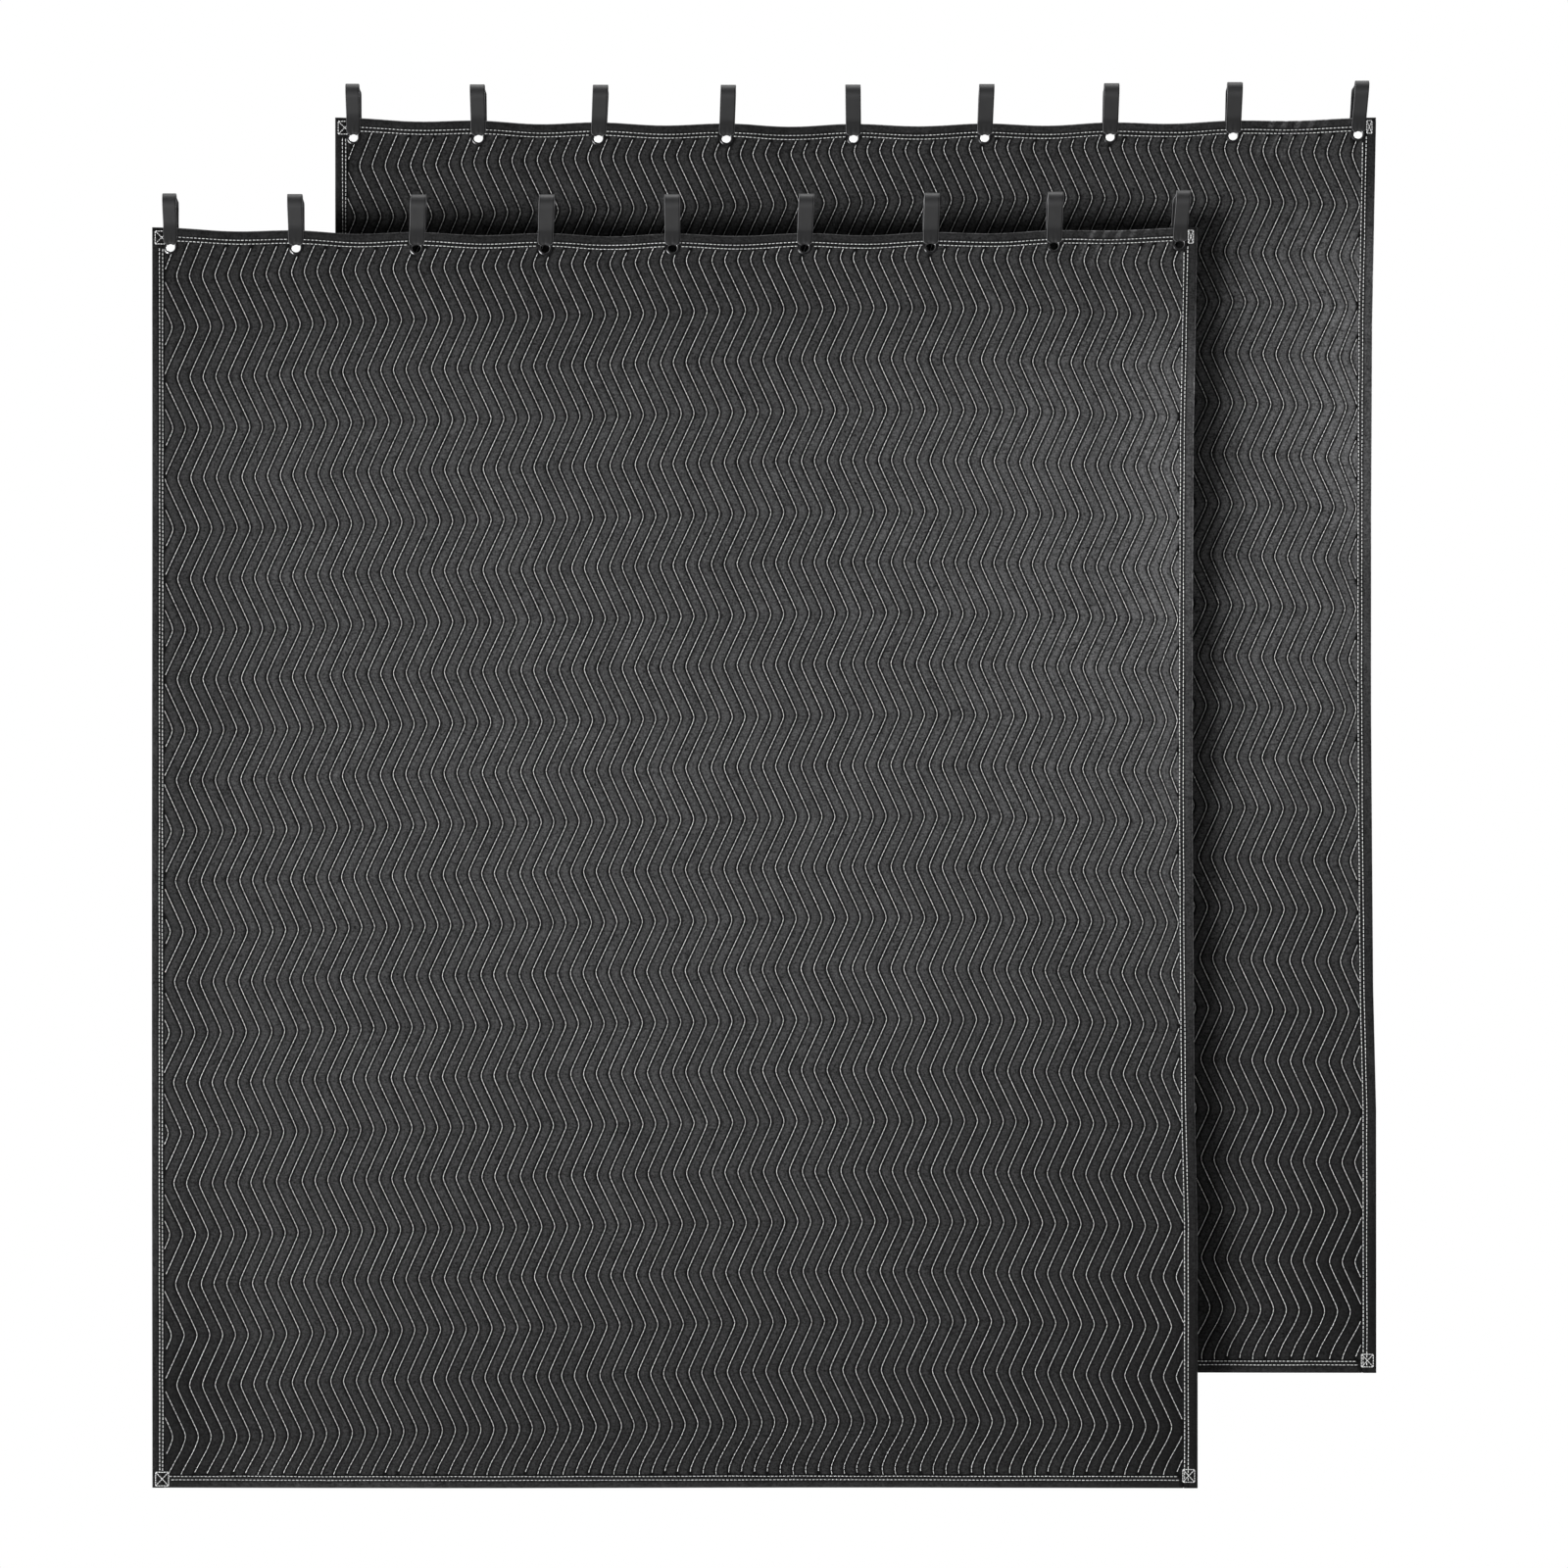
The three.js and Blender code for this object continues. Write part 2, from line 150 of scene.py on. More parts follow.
# Two rows of stitches along each binding, measured in from the edge.
SEAMS = {"top": (17.7, 25), "bottom": (15.6, 22.6), "left": (14.5, 20.5), "right": (18.5, 25.5)}

# Small creases across the bottom binding, by their place along it.
BOTTOM_CREASES = (-807, -735, -668, -487, -443, -300, -120, 14, 190, 402, 560, 633, 846)

# Soft folds of the panel: where, how far each leans, its length, width and depth.
SOFT_FOLDS = [
    (640, -95, 0.25, 90, 26, 3.0),
    (800, -85, 0.45, 80, 9, -2.2),
    (826, -85, 0.45, 80, 9, -2.4),
    (852, -80, 0.45, 80, 9, -2.2),
    (878, -95, 0.45, 90, 10, -1.8),
    (904, -100, 0.45, 90, 10, -1.8),
    (790, -150, 0.20, 140, 34, -2.6),
    (716, -190, 0.10, 160, 40, 1.6),
]


# Shapes that the whole blanket follows.

def smooth(share):
    share = np.clip(share, 0, 1)
    return share * share * (3 - 2 * share)


def along(table, share, column=1):
    return np.interp(share, [row[0] for row in table], [row[column] for row in table])


def down(z):
    return (TOP_Z - z) / HEIGHT


def across(x):
    return (x + HALF_WIDTH) / WIDTH


def over_bays(x, values):
    bay = np.clip(np.searchsorted(STRAP_X, x, side="right") - 1, 0, len(STRAPS) - 2)
    share = np.clip((x - STRAP_X[bay]) / (STRAP_X[bay + 1] - STRAP_X[bay]), 0, 1)
    return values[bay] * np.sin(np.pi * share) ** 2


def hanging_line(x):
    share = x / END_STRAP_X
    return LINE_TILT * share + LINE_BOW * share ** 2


def top_edge(x):
    return TOP_Z + EDGE_RISE * (x / END_STRAP_X) ** 2 - over_bays(x, BAY_DIP)


def right_edge(z):
    return HALF_WIDTH - along(RIGHT_EDGE, down(z))


def lumps(x, z, size_x, size_z, seed):
    """Soft uneven heights from -1 to 1, about size_x wide and size_z tall."""
    grid = np.random.default_rng(seed).uniform(-1, 1, (128, 128))
    u = np.asarray(x / size_x) + 1000.0
    v = np.asarray(z / size_z) + 1000.0
    i, k = np.floor(u).astype(int), np.floor(v).astype(int)
    a, b = smooth(u - i), smooth(v - k)
    rows = [grid[(i + p) % 128, (k + q) % 128] for p in (0, 1) for q in (0, 1)]
    low = rows[0] * (1 - b) + rows[1] * b
    high = rows[2] * (1 - b) + rows[3] * b
    return low * (1 - a) + high * a


def soft_folds(x, z):
    total = np.zeros(np.broadcast(x, z).shape)
    for at_x, at_z, lean, length, width, depth in SOFT_FOLDS:
        run = (z - at_z) / length
        side = (x - at_x - lean * (z - at_z)) / width
        total = total + depth * np.exp(-(side ** 2)) * np.exp(-(run ** 2) * 4)
    return total


def cloth_middle(x, z):
    """How far back the middle of the cloth stands."""
    size = SWAY * np.sin(np.pi / 2 * np.clip(down(z) / 0.5, 0, 1))
    slow = size * np.sin(2 * np.pi * (x / SWAY_LENGTH + z / SWAY_SLANT))
    bays = over_bays(x, BAY_BOW) * np.clip(1 + (z + EDGE_DROP) / BAY_FADE, 0, 1)
    calm = smooth((np.abs(z - hanging_line(x) + EYELET_BELOW_LINE) - 12) / 60)
    creases = soft_folds(x, z) + 0.55 * lumps(x, z, 120, 34, 3) + 0.35 * lumps(x, z, 46, 15, 4)
    return slow + bays + creases * calm


# The panel.

def creep(x, z):
    d = down(z)
    values = [along(LINE_CREEP, d, column) for column in (1, 2, 3, 4)]
    a = across(x)
    total = np.zeros(np.broadcast(x, z).shape)
    for i in range(3):
        span = CREEP_ACROSS[i + 1] - CREEP_ACROSS[i]
        share = smooth((a - CREEP_ACROSS[i]) / span)
        total = total + (values[i + 1] - values[i]) * share
    return total + values[0]


def quilting_line(line, z):
    """The flat place of a quilting line at the depth z before its turns are lifted."""
    turns = (FIRST_TURN_Z - z) / TURN_PITCH
    bluntness = np.where(turns > TURN_COUNT - 1, 0.8, 0.985)
    swing = -SWING * np.arcsin(bluntness * np.cos(np.pi * turns)) / np.arcsin(bluntness)
    middle = FIRST_LINE_X + LINE_PITCH * line
    x = middle + creep(middle, z) + swing
    arch = along(TURN_ARCH, across(middle)) * along(ARCH_PEAK, down(z))
    return x, z + arch


def hang(x, z):
    """From the flat blanket to the hung one, without its depth."""
    lift = (top_edge(x) - TOP_Z) * smooth(1 - (TOP_Z - z) / 95)
    hung_z = z + lift
    curl = (HALF_WIDTH - right_edge(hung_z)) * smooth((x - 930) / 80)
    return x - curl, hung_z


def eyelet_place(strap):
    x = STRAP_X[strap]
    z = hanging_line(x) - EYELET_BELOW_LINE
    return x, float(cloth_middle(x, z)), z


def from_eyelets(x, z):
    places = [eyelet_place(strap) for strap in range(len(STRAPS))]
    return np.min([np.hypot(x - px, z - pz) for px, _, pz in places], axis=0)


def past_bindings(x, z):
    """How far inside the inner edges of the bindings a place is."""
    return np.minimum.reduce([
        x + HALF_WIDTH - BINDING_WIDTHS["left"],
        right_edge(z) - x - BINDING_WIDTHS["right"],
        top_edge(x) - z - BINDING_WIDTHS["top"],
        z - BOTTOM_Z - BINDING_WIDTHS["bottom"],
    ])


def face_half(line, x, z, groove, crest):
    """Half the cloth's thickness at a place: thin at a quilting line and at the edges."""
    off_line = np.abs(line - np.round(line))
    swell = along(PUFF, off_line)
    half = groove + (crest - groove) * swell * (1 + 0.12 * lumps(x, z, 60, 24, 5))
    half = EDGE_HALF + (half - EDGE_HALF) * smooth(past_bindings(x, z) / 13)
    pressed = smooth((from_eyelets(x, z) - EYELET_RADIUS - 0.5) / 9)
    return EYELET_PRESS + (half - EYELET_PRESS) * pressed


# The mesh of a face: columns within the pitch of a quilting line, rows within a turn.
FRONT_COLUMNS = (0, 0.13, 0.32, 0.68, 0.87)
FRONT_ROWS = (0, 0.09, 0.29, 0.5, 0.71, 0.91)
BACK_COLUMNS = (0, 0.5)
BACK_ROWS = (0, 0.12, 0.5, 0.88)


def turn_rows(shares):
    turns = np.array([turn + share for turn in range(-2, TURN_COUNT + 2) for share in shares])
    return FIRST_TURN_Z - TURN_PITCH * turns


def quilted_face(column_shares, row_shares):
    """One face as an open flat sheet cut to the blanket: places, lines, runs, rim and faces."""
    lines = np.array([k + share for k in range(-3, LINE_COUNT + 3) for share in column_shares])
    rows = turn_rows(row_shares)
    line, row = np.meshgrid(lines, rows)
    x, z = quilting_line(line, row)
    count = len(lines)
    sheet = bmesh.new()
    line_of = sheet.verts.layers.float.new("line")
    run_of = sheet.verts.layers.float.new("run")
    knots = []
    for px, pz, pl, pr in zip(x.ravel(), z.ravel(), line.ravel(), row.ravel()):
        knot = sheet.verts.new((px, 0, pz))
        knot[line_of] = pl
        knot[run_of] = pr
        knots.append(knot)
    for r in range(len(rows) - 1):
        for c in range(count - 1):
            a = r * count + c
            sheet.faces.new((knots[a], knots[a + count], knots[a + count + 1], knots[a + 1]))
    edges = (
        ((-HALF_WIDTH + CLOTH_INSET, 0, 0), (-1, 0, 0)),
        ((HALF_WIDTH - CLOTH_INSET, 0, 0), (1, 0, 0)),
        ((0, 0, TOP_Z - CLOTH_INSET), (0, 0, 1)),
        ((0, 0, BOTTOM_Z + CLOTH_INSET), (0, 0, -1)),
    )
    for place, outwards in edges:
        everything = [*sheet.verts, *sheet.edges, *sheet.faces]
        bmesh.ops.bisect_plane(
            sheet, geom=everything, dist=1e-4, plane_co=place, plane_no=outwards, clear_outer=True,
        )
    bmesh.ops.remove_doubles(sheet, verts=sheet.verts, dist=0.05)
    sheet.verts.ensure_lookup_table()
    sheet.verts.index_update()
    places = np.array([knot.co[:] for knot in sheet.verts])
    lines = np.array([knot[line_of] for knot in sheet.verts])
    runs = np.array([knot[run_of] for knot in sheet.verts])
    rim = np.array([knot.is_boundary for knot in sheet.verts])
    faces = [[knot.index for knot in face.verts] for face in sheet.faces]
    sheet.free()
    return places, lines, runs, rim, faces


def zipped(front, back, order):
    """Triangles between two rows of points, each given as (index, place along) pairs."""
    a = sorted(front, key=lambda pair: pair[1])
    b = sorted(back, key=lambda pair: pair[1])
    i = k = 0
    made = []
    while i < len(a) - 1 or k < len(b) - 1:
        next_a = a[i + 1][1] if i < len(a) - 1 else math.inf
        next_b = b[k + 1][1] if k < len(b) - 1 else math.inf
        if next_a <= next_b:
            made.append((a[i][0], a[i + 1][0], b[k][0]))
            i += 1
        else:
            made.append((a[i][0], b[k + 1][0], b[k][0]))
            k += 1
    return [face[::-1] for face in made] if order else made


def panel_shape():
    """The panel's points, faces, face materials and the two numbers for its patterns."""
    front = quilted_face(FRONT_COLUMNS, FRONT_ROWS)
    back = quilted_face(BACK_COLUMNS, BACK_ROWS)
    points, marks, faces, slots = [], [], [], []
    sides = []
    start = 0
    for index, (places, lines, runs, rim, polygons) in enumerate((front, back)):
        x, z = hang(places[:, 0], places[:, 2])
        thin, thick = ((GROOVE_HALF, CREST_HALF), (BACK_GROOVE_HALF, BACK_CREST_HALF))[index]
        half = face_half(lines, x, z, thin, thick)
        y = cloth_middle(x, z) + (half if index else -half)
        points.append(np.column_stack([x, y, z]))
        marks.append(np.column_stack([lines, -runs / 1000]))
        for polygon in polygons:
            ids = [start + i for i in polygon]
            faces.append(ids[::-1] if index else ids)
        slots += [index] * len(polygons)
        flat_x, flat_z = places[:, 0], places[:, 2]
        limits = (
            (flat_x, -HALF_WIDTH + CLOTH_INSET, flat_z),
            (flat_x, HALF_WIDTH - CLOTH_INSET, flat_z),
            (flat_z, TOP_Z - CLOTH_INSET, flat_x),
            (flat_z, BOTTOM_Z + CLOTH_INSET, flat_x),
        )
        found = []
        for values, limit, place_along in limits:
            ids = np.nonzero(rim & (np.abs(values - limit) < 0.1))[0]
            found.append([(start + int(i), float(place_along[i])) for i in ids])
        sides.append(found)
        start += len(places)
    for side, order in zip(range(4), (False, True, False, True)):
        rim = zipped(sides[0][side], sides[1][side], order)
        faces += rim
        slots += [0] * len(rim)
    return np.vstack(points), np.vstack(marks), faces, slots


# Making meshes.

def add_object(name, data):
    made = bpy.data.objects.new(name, data)
    bpy.context.scene.collection.objects.link(made)
    return made


def make_piece(name, points, faces, materials, slots=None, marks=None):
    mesh = bpy.data.meshes.new(name)
    mesh.from_pydata((np.asarray(points) * MM).tolist(), [], faces)
    for material in materials:
        mesh.materials.append(material)
    if slots is not None:
        mesh.polygons.foreach_set("material_index", np.asarray(slots, np.int32))
    if marks is not None:
        corners = np.empty(len(mesh.loops), np.int32)
        mesh.loops.foreach_get("vertex_index", corners)
        place = np.column_stack([across(np.asarray(points)[:, 0]), down(np.asarray(points)[:, 2])])
        for map_name, values in (("along_cloth", np.asarray(marks)), ("on_blanket", place)):
            layer = mesh.uv_layers.new(name=map_name)
            layer.data.foreach_set("uv", values[corners].astype(np.float32).ravel())
        mesh.uv_layers["along_cloth"].active = True
        mesh.uv_layers["along_cloth"].active_render = True
    mesh.polygons.foreach_set("use_smooth", np.ones(len(mesh.polygons), bool))
    mesh.update()
    return add_object(name, mesh)


def only_select(piece):
    for other in bpy.context.selected_objects:
        other.select_set(False)
    piece.select_set(True)
    bpy.context.view_layer.objects.active = piece


def own_copy(piece, name, shift):
    copy = piece.copy()
    copy.data = piece.data.copy()
    copy.name = name
    copy.data.name = name
    count = len(copy.data.vertices)
    places = np.empty(count * 3, np.float32)
    copy.data.vertices.foreach_get("co", places)
    places = places.reshape(-1, 3) + np.asarray(shift, np.float32) * MM
    copy.data.vertices.foreach_set("co", places.ravel())
    copy.data.update()
    bpy.context.scene.collection.objects.link(copy)
    return copy


def cut_eyelet_holes(pieces):
    """Takes the nine round holes out of each piece."""
    for piece in pieces:
        only_select(piece)
        cutters = []
        for strap in range(len(STRAPS)):
            x, y, z = eyelet_place(strap)
            bpy.ops.mesh.primitive_cylinder_add(
                vertices=28, radius=CLOTH_HOLE * MM, depth=30 * MM,
                location=(x * MM, y * MM, z * MM), rotation=(math.pi / 2, 0, 0),
            )
            cutters.append(bpy.context.active_object)
        only_select(cutters[0])
        for cutter in cutters:
            cutter.select_set(True)
        bpy.ops.object.join()
        punch = bpy.context.active_object
        only_select(piece)
        holes = piece.modifiers.new("eyelet holes", "BOOLEAN")
        holes.operation = "DIFFERENCE"
        holes.solver = "MANIFOLD"
        holes.object = punch
        bpy.ops.object.modifier_apply(modifier=holes.name)
        bpy.data.objects.remove(punch, do_unlink=True)


# Bindings: cloth strips folded over the edges.

INNER_POINTS = 6


def strip_section(near, far, wide):
    """A folded strip from its front inner edge, round the fold, to its back inner edge.

    Each point is (in from the edge, front or back of the middle of the cloth).
    """
    half = BINDING_HALF
    front = [
        (wide, -2.15), (wide - 0.3, -2.75), (far, -2.7), (far - 1.2, -2.95),
        ((near + far) / 2, -half + 0.05), (near + 1.2, -2.95), (near, -2.7), (near - 1.6, -3.0),
        (near * 0.62, -half), (near * 0.28, -half + 0.05), (1.6, -2.75), (0.5, -1.9), (0, -0.75),
    ]
    back = [(inwards, -y) for inwards, y in reversed(front)]
    inner = [(wide, 1.85), (9, 1.9), (FOLD_WALL, 1.5), (FOLD_WALL, -1.5), (9, -1.9), (wide, -1.85)]
    return front + back + inner


def strip_place(side, place_along, inwards, off):
    """A point of a binding in the hung blanket."""
    if side in ("top", "bottom"):
        x = place_along
        z = top_edge(x) - inwards if side == "top" else BOTTOM_Z + inwards
    else:
        edge = top_edge(np.where(side == "left", -HALF_WIDTH + inwards, HALF_WIDTH - inwards))
        z = BOTTOM_Z + (place_along - BOTTOM_Z) * (edge - BOTTOM_Z) / (TOP_Z - BOTTOM_Z)
        x = -HALF_WIDTH + inwards if side == "left" else right_edge(z) - inwards
    return np.stack(np.broadcast_arrays(x, cloth_middle(x, z) + off, z), axis=-1)


def strip_swell(side, place_along, inwards, off):
    """Small puckers of a strip between its stitches, none where it is pressed."""
    near, far = SEAMS[side]
    seed = 20 + list(SEAMS).index(side)
    loose = np.exp(-((inwards - near * 0.45) / (near * 0.35)) ** 2)
    pucker = 0.45 * lumps(place_along, inwards, 17, 30, seed)
    pucker = pucker + 0.35 * lumps(place_along, inwards, 55, 60, seed + 9)
    value = pucker * (loose + 0.25)
    if side == "bottom":
        for crease in BOTTOM_CREASES:
            value = value - 1.3 * np.exp(-((place_along - crease) / 3.2) ** 2) * loose
    if side == "top":
        value = value + 0.5 * lumps(place_along, inwards, 90, 60, 41) * loose
    return np.where(np.abs(off) > 2, np.sign(off) * value, 0.0)


def binding_strip(side):
    section = np.array(strip_section(*SEAMS[side], BINDING_WIDTHS[side]))
    if side in ("top", "bottom"):
        left = HALF_WIDTH - BINDING_WIDTHS["left"] - JOIN_GAP
        right = HALF_WIDTH - BINDING_WIDTHS["right"] - JOIN_GAP - (3 if side == "top" else 0)
        stations = np.linspace(-left, right, 211)
        if side == "bottom":
            extra = np.array([c + step for c in BOTTOM_CREASES for step in (-6, -3, 0, 3, 6)])
            stations = np.unique(np.concatenate([stations, extra]))
    else:
        stations = np.linspace(BOTTOM_Z, TOP_Z, 245)
    at, inwards = np.meshgrid(stations, section[:, 0], indexing="ij")
    off = np.broadcast_to(section[:, 1], at.shape)
    points = strip_place(side, at, inwards, off + strip_swell(side, at, inwards, off))
    from_seam = np.min([np.abs(inwards - seam) for seam in SEAMS[side]], axis=0)
    marks = np.stack([from_seam, inwards], axis=-1).reshape(-1, 2) * MM
    rows, sides = at.shape
    ids = np.arange(rows * sides).reshape(rows, sides)
    a, b = ids[:-1], ids[1:]
    quads = np.stack([a, np.roll(a, -1, 1), np.roll(b, -1, 1), b], axis=-1).reshape(-1, 4)
    faces = quads.tolist()
    # The end caps join the outer skin to the inner one.
    outer = sides - INNER_POINTS
    for row, turned in ((ids[0], False), (ids[-1], True)):
        loop = row.tolist()
        wall = zip_cap(loop[:outer], loop[outer:][::-1])
        faces += [face[::-1] for face in wall] if turned else wall
    points = points.reshape(-1, 3)
    return points, outwards(points, faces), marks


def zip_cap(outer, inner):
    """Fills the thin wall between a strip's outer and inner skin at one end."""
    made = []
    i = 0
    for k in range(len(inner) - 1):
        goal = round((k + 1) * (len(outer) - 1) / (len(inner) - 1))
        while i < goal:
            made.append((outer[i + 1], outer[i], inner[k]))
            i += 1
        made.append((outer[i], inner[k], inner[k + 1]))
    return made


def outwards(points, faces):
    """Turns all faces round if they enclose a negative volume."""
    total = 0.0
    for face in faces:
        a = points[face[0]]
        for i in range(1, len(face) - 1):
            total += float(np.dot(a, np.cross(points[face[i]], points[face[i + 1]])))
    return [tuple(face)[::-1] for face in faces] if total < 0 else [tuple(face) for face in faces]


# Straps.

# Half of a strap's way from inside the eyelet up to the blanket's edge: how far out from
# the middle of the cloth, how far up from the eyelet's middle, half the width, and how
# far the two sides of the webbing hang below its middle.
GATHER = [
    (0.0, 7.1, 6.0, 2.4),
    (3.0, 7.1, 6.2, 2.4),
    (5.5, 8.0, 7.4, 3.0),
    (6.5, 10.4, 11.0, 4.2),
    (6.6, 13.8, 14.2, 4.6),
    (6.4, 18.0, 15.0, 2.8),
    (6.1, 23.0, 15.0, 1.0),
    (5.8, 28.5, 15.0, 0.0),
]


def strap_way(strap):
    """Rows of (y, z, half width, drop, shift to the right) round one strap's loop."""
    x, eyelet_y, eyelet_z = eyelet_place(strap)
    line_z = hanging_line(x)
    foot_z = top_edge(x) + 1
    reach = math.hypot(FOOT_OUT, line_z - foot_z)
    tangent = math.atan2(line_z - foot_z, FOOT_OUT) - math.acos(LOOP_RADIUS / reach)
    twist, seen = STRAPS[strap][4:]
    leg = [(out, eyelet_z + up, half, drop) for out, up, half, drop in GATHER]
    foot = np.array([FOOT_OUT + 0.2, foot_z + 6])
    bend = np.array([LOOP_RADIUS * math.cos(tangent), line_z - LOOP_RADIUS * math.sin(tangent)])
    for share in (0, 0.3, 0.6, 0.85):
        leg.append((*(foot + (bend - foot) * share), WEBBING_HALF, 0))
    top = []
    for a in np.linspace(-tangent, math.pi + tangent, 17):
        rearward = smooth(1 - (a - 0.1) / 0.6)
        half = seen + (WEBBING_HALF - seen) * rearward
        y, z = LOOP_RADIUS * math.cos(a), line_z + LOOP_RADIUS * math.sin(a)
        top.append((y, z, half, 0, twist * rearward))
    rear = [(eyelet_y + out, z, half, drop, twist * smooth((z - eyelet_z - 8) / 12))
            for out, z, half, drop in leg]
    front = [(eyelet_y - out, z, half * seen / WEBBING_HALF, drop, 0)
             for out, z, half, drop in reversed(leg[1:])]
    return np.array(rear + top + front)


def flow(rows, parts):
    """A closed smooth way through the rows, with that many parts between two of them."""
    before, after, beyond = np.roll(rows, 1, 0), np.roll(rows, -1, 0), np.roll(rows, -2, 0)
    made = []
    for step in range(parts):
        t = step / parts
        made.append(0.5 * (
            2 * rows + (after - before) * t + (2 * before - 5 * rows + 4 * after - beyond) * t * t
            + (3 * rows - before - 3 * after + beyond) * t ** 3
        ))
    return np.stack(made, axis=1).reshape(-1, rows.shape[1])


def strap_shape(strap):
    rows = flow(strap_way(strap), 2)
    x0, _, eyelet_z = eyelet_place(strap)
    lean = STRAPS[strap][1]
    share = np.array([-1, -0.94, -0.8, -0.6, -0.4, -0.2, 0, 0.2, 0.4, 0.6, 0.8, 0.94, 1])
    y, z, half, drop, shift = (rows[:, i:i + 1] for i in range(5))
    gather = smooth(drop / 4)
    fold = 0.5 * gather * np.cos(share * np.pi * 3 + strap * 1.3) * (1 - 0.4 * share ** 2)
    middle_z = z - drop * share ** 2
    x = x0 + lean * np.clip((z - eyelet_z) / EYELET_BELOW_LINE, 0, 1.3) + shift + half * share
    surface = np.stack(np.broadcast_arrays(x, y, middle_z), axis=-1)
    going = np.roll(surface, -1, 0) - np.roll(surface, 1, 0)
    sideways = np.gradient(surface, axis=1)
    normal = np.cross(going, sideways)
    normal /= np.linalg.norm(normal, axis=-1, keepdims=True)
    surface = surface + normal * fold[..., None]
    # The two edges of the webbing are rounded.
    thick = STRAP_THICKNESS / 2 * np.where(np.abs(share) > 0.97, 0.35, 1.0)[None, :, None]
    one, two = surface + normal * thick, surface - normal * thick
    ring = np.concatenate([one, two[:, ::-1]], axis=1)
    count, around = ring.shape[:2]
    ids = np.arange(count * around).reshape(count, around)
    after = np.roll(ids, -1, 0)
    quads = np.stack([ids, np.roll(ids, -1, 1), np.roll(after, -1, 1), after], axis=-1).reshape(-1, 4)
    points = ring.reshape(-1, 3)
    length = np.linalg.norm(np.diff(rows[:, :2], axis=0, prepend=rows[-1:, :2]), axis=1).cumsum()
    from_bar = np.abs(length - length[np.argmax(rows[:, 1])])
    marks = np.zeros((count, around, 2))
    marks[..., 0] = np.concatenate([share, share[::-1]])[None, :] * WEBBING_HALF * MM
    marks[..., 1] = from_bar[:, None] * MM
    return points, outwards(points, quads.tolist()), marks.reshape(-1, 2)


# Eyelets: rolled rings of black metal.

def eyelet_ring():
    """One ring about its own middle, modelled from a circle that is drawn outwards."""
    bpy.ops.object.select_all(action="DESELECT")
    bpy.ops.mesh.primitive_circle_add(
        vertices=36, radius=EYELET_HOLE * MM, fill_type="NOTHING",
        location=(0, 0, 0), rotation=(math.pi / 2, 0, 0),
    )
    ring = bpy.context.active_object
    bpy.ops.object.transform_apply(location=True, rotation=True, scale=True)
    # Each step: radius and how far back it stands.
    steps = [
        (8.5, 3.4), (8.75, 4.2), (9.6, 4.6), (12.6, 4.5), (13.6, 4.1), (13.8, 3.5),
        (12.9, 3.35), (9.1, 3.3), (9.1, -3.3), (13.4, -3.35), (14.0, -3.5), (13.8, -3.85),
        (12.7, -4.2), (11.6, -4.65), (10.6, -4.9), (9.6, -4.7), (8.9, -4.0), (8.5, -3.0),
    ]
    bpy.ops.object.mode_set(mode="EDIT")
    bpy.ops.mesh.select_all(action="SELECT")
    bpy.ops.transform.translate(value=(0, steps[0][1] * MM, 0))
    radius, depth = steps[0]
    for new_radius, new_depth in steps[1:]:
        bpy.ops.mesh.extrude_edges_move(
            TRANSFORM_OT_translate={"value": (0, (new_depth - depth) * MM, 0)},
        )
        scale = new_radius / radius
        bpy.ops.transform.resize(value=(scale, 1, scale), center_override=(0, new_depth * MM, 0))
        radius, depth = new_radius, new_depth
    bpy.ops.mesh.select_all(action="DESELECT")
    bpy.ops.mesh.select_non_manifold()
    bpy.ops.mesh.bridge_edge_loops()
    bpy.ops.mesh.select_all(action="SELECT")
    bpy.ops.mesh.remove_doubles(threshold=1e-6)
    bpy.ops.mesh.normals_make_consistent(inside=False)
    bpy.ops.object.mode_set(mode="OBJECT")
    bpy.ops.object.shade_smooth_by_angle(angle=math.radians(40))
    return ring


# Stitches: short raised pieces of thread, each dipping into the cloth at its two ends.

def thread_pieces(middle, going, length, width, lift):
    """Closed stitches about the given middles: each a long low roof over its own foot."""
    going = going / np.linalg.norm(going, axis=1, keepdims=True)
    out = np.zeros_like(going)
    out[:, 1] = -1
    sideways = np.cross(going, out)
    sideways /= np.linalg.norm(sideways, axis=1, keepdims=True)
    sideways *= width / 2
    half = going * length[:, None] / 2
    ridge = going * (length[:, None] / 2 - 0.8)
    foot = middle + out * lift
    corners = np.stack([
        foot - half - sideways, foot - half + sideways,
        foot + half - sideways, foot + half + sideways,
        middle - ridge + out * THREAD_RISE, middle + ridge + out * THREAD_RISE,
    ], axis=1).reshape(-1, 3)
    pattern = ((2, 3, 1, 0), (4, 5, 2, 0), (3, 5, 4, 1), (1, 4, 0), (5, 3, 2))
    faces = [[start + corner for corner in face]
             for start in range(0, len(corners), 6) for face in pattern]
    return corners, faces


def stitched_row(path, step, gap, seed):
    """Middles, directions and lengths of the stitches along a path of points."""
    lengths = np.linalg.norm(np.diff(path, axis=0), axis=1)
    place = np.concatenate([[0], np.cumsum(lengths)])
    random = np.random.default_rng(seed)
    count = int((place[-1] - step) / step)
    start = random.uniform(0, step * 0.9) + step * np.arange(count)
    start = start + random.uniform(-0.3, 0.3, count)
    length = step - gap - random.uniform(0, 0.4, count)
    ends = [np.stack([np.interp(s, place, path[:, i]) for i in range(3)], axis=1)
            for s in (start, start + length)]
    return (ends[0] + ends[1]) / 2, ends[1] - ends[0], length


def together(rows):
    """Joins rows of stitches, each given as middles, directions and lengths."""
    middles, goings, lengths = zip(*rows)
    return np.vstack(middles), np.vstack(goings), np.concatenate(lengths)


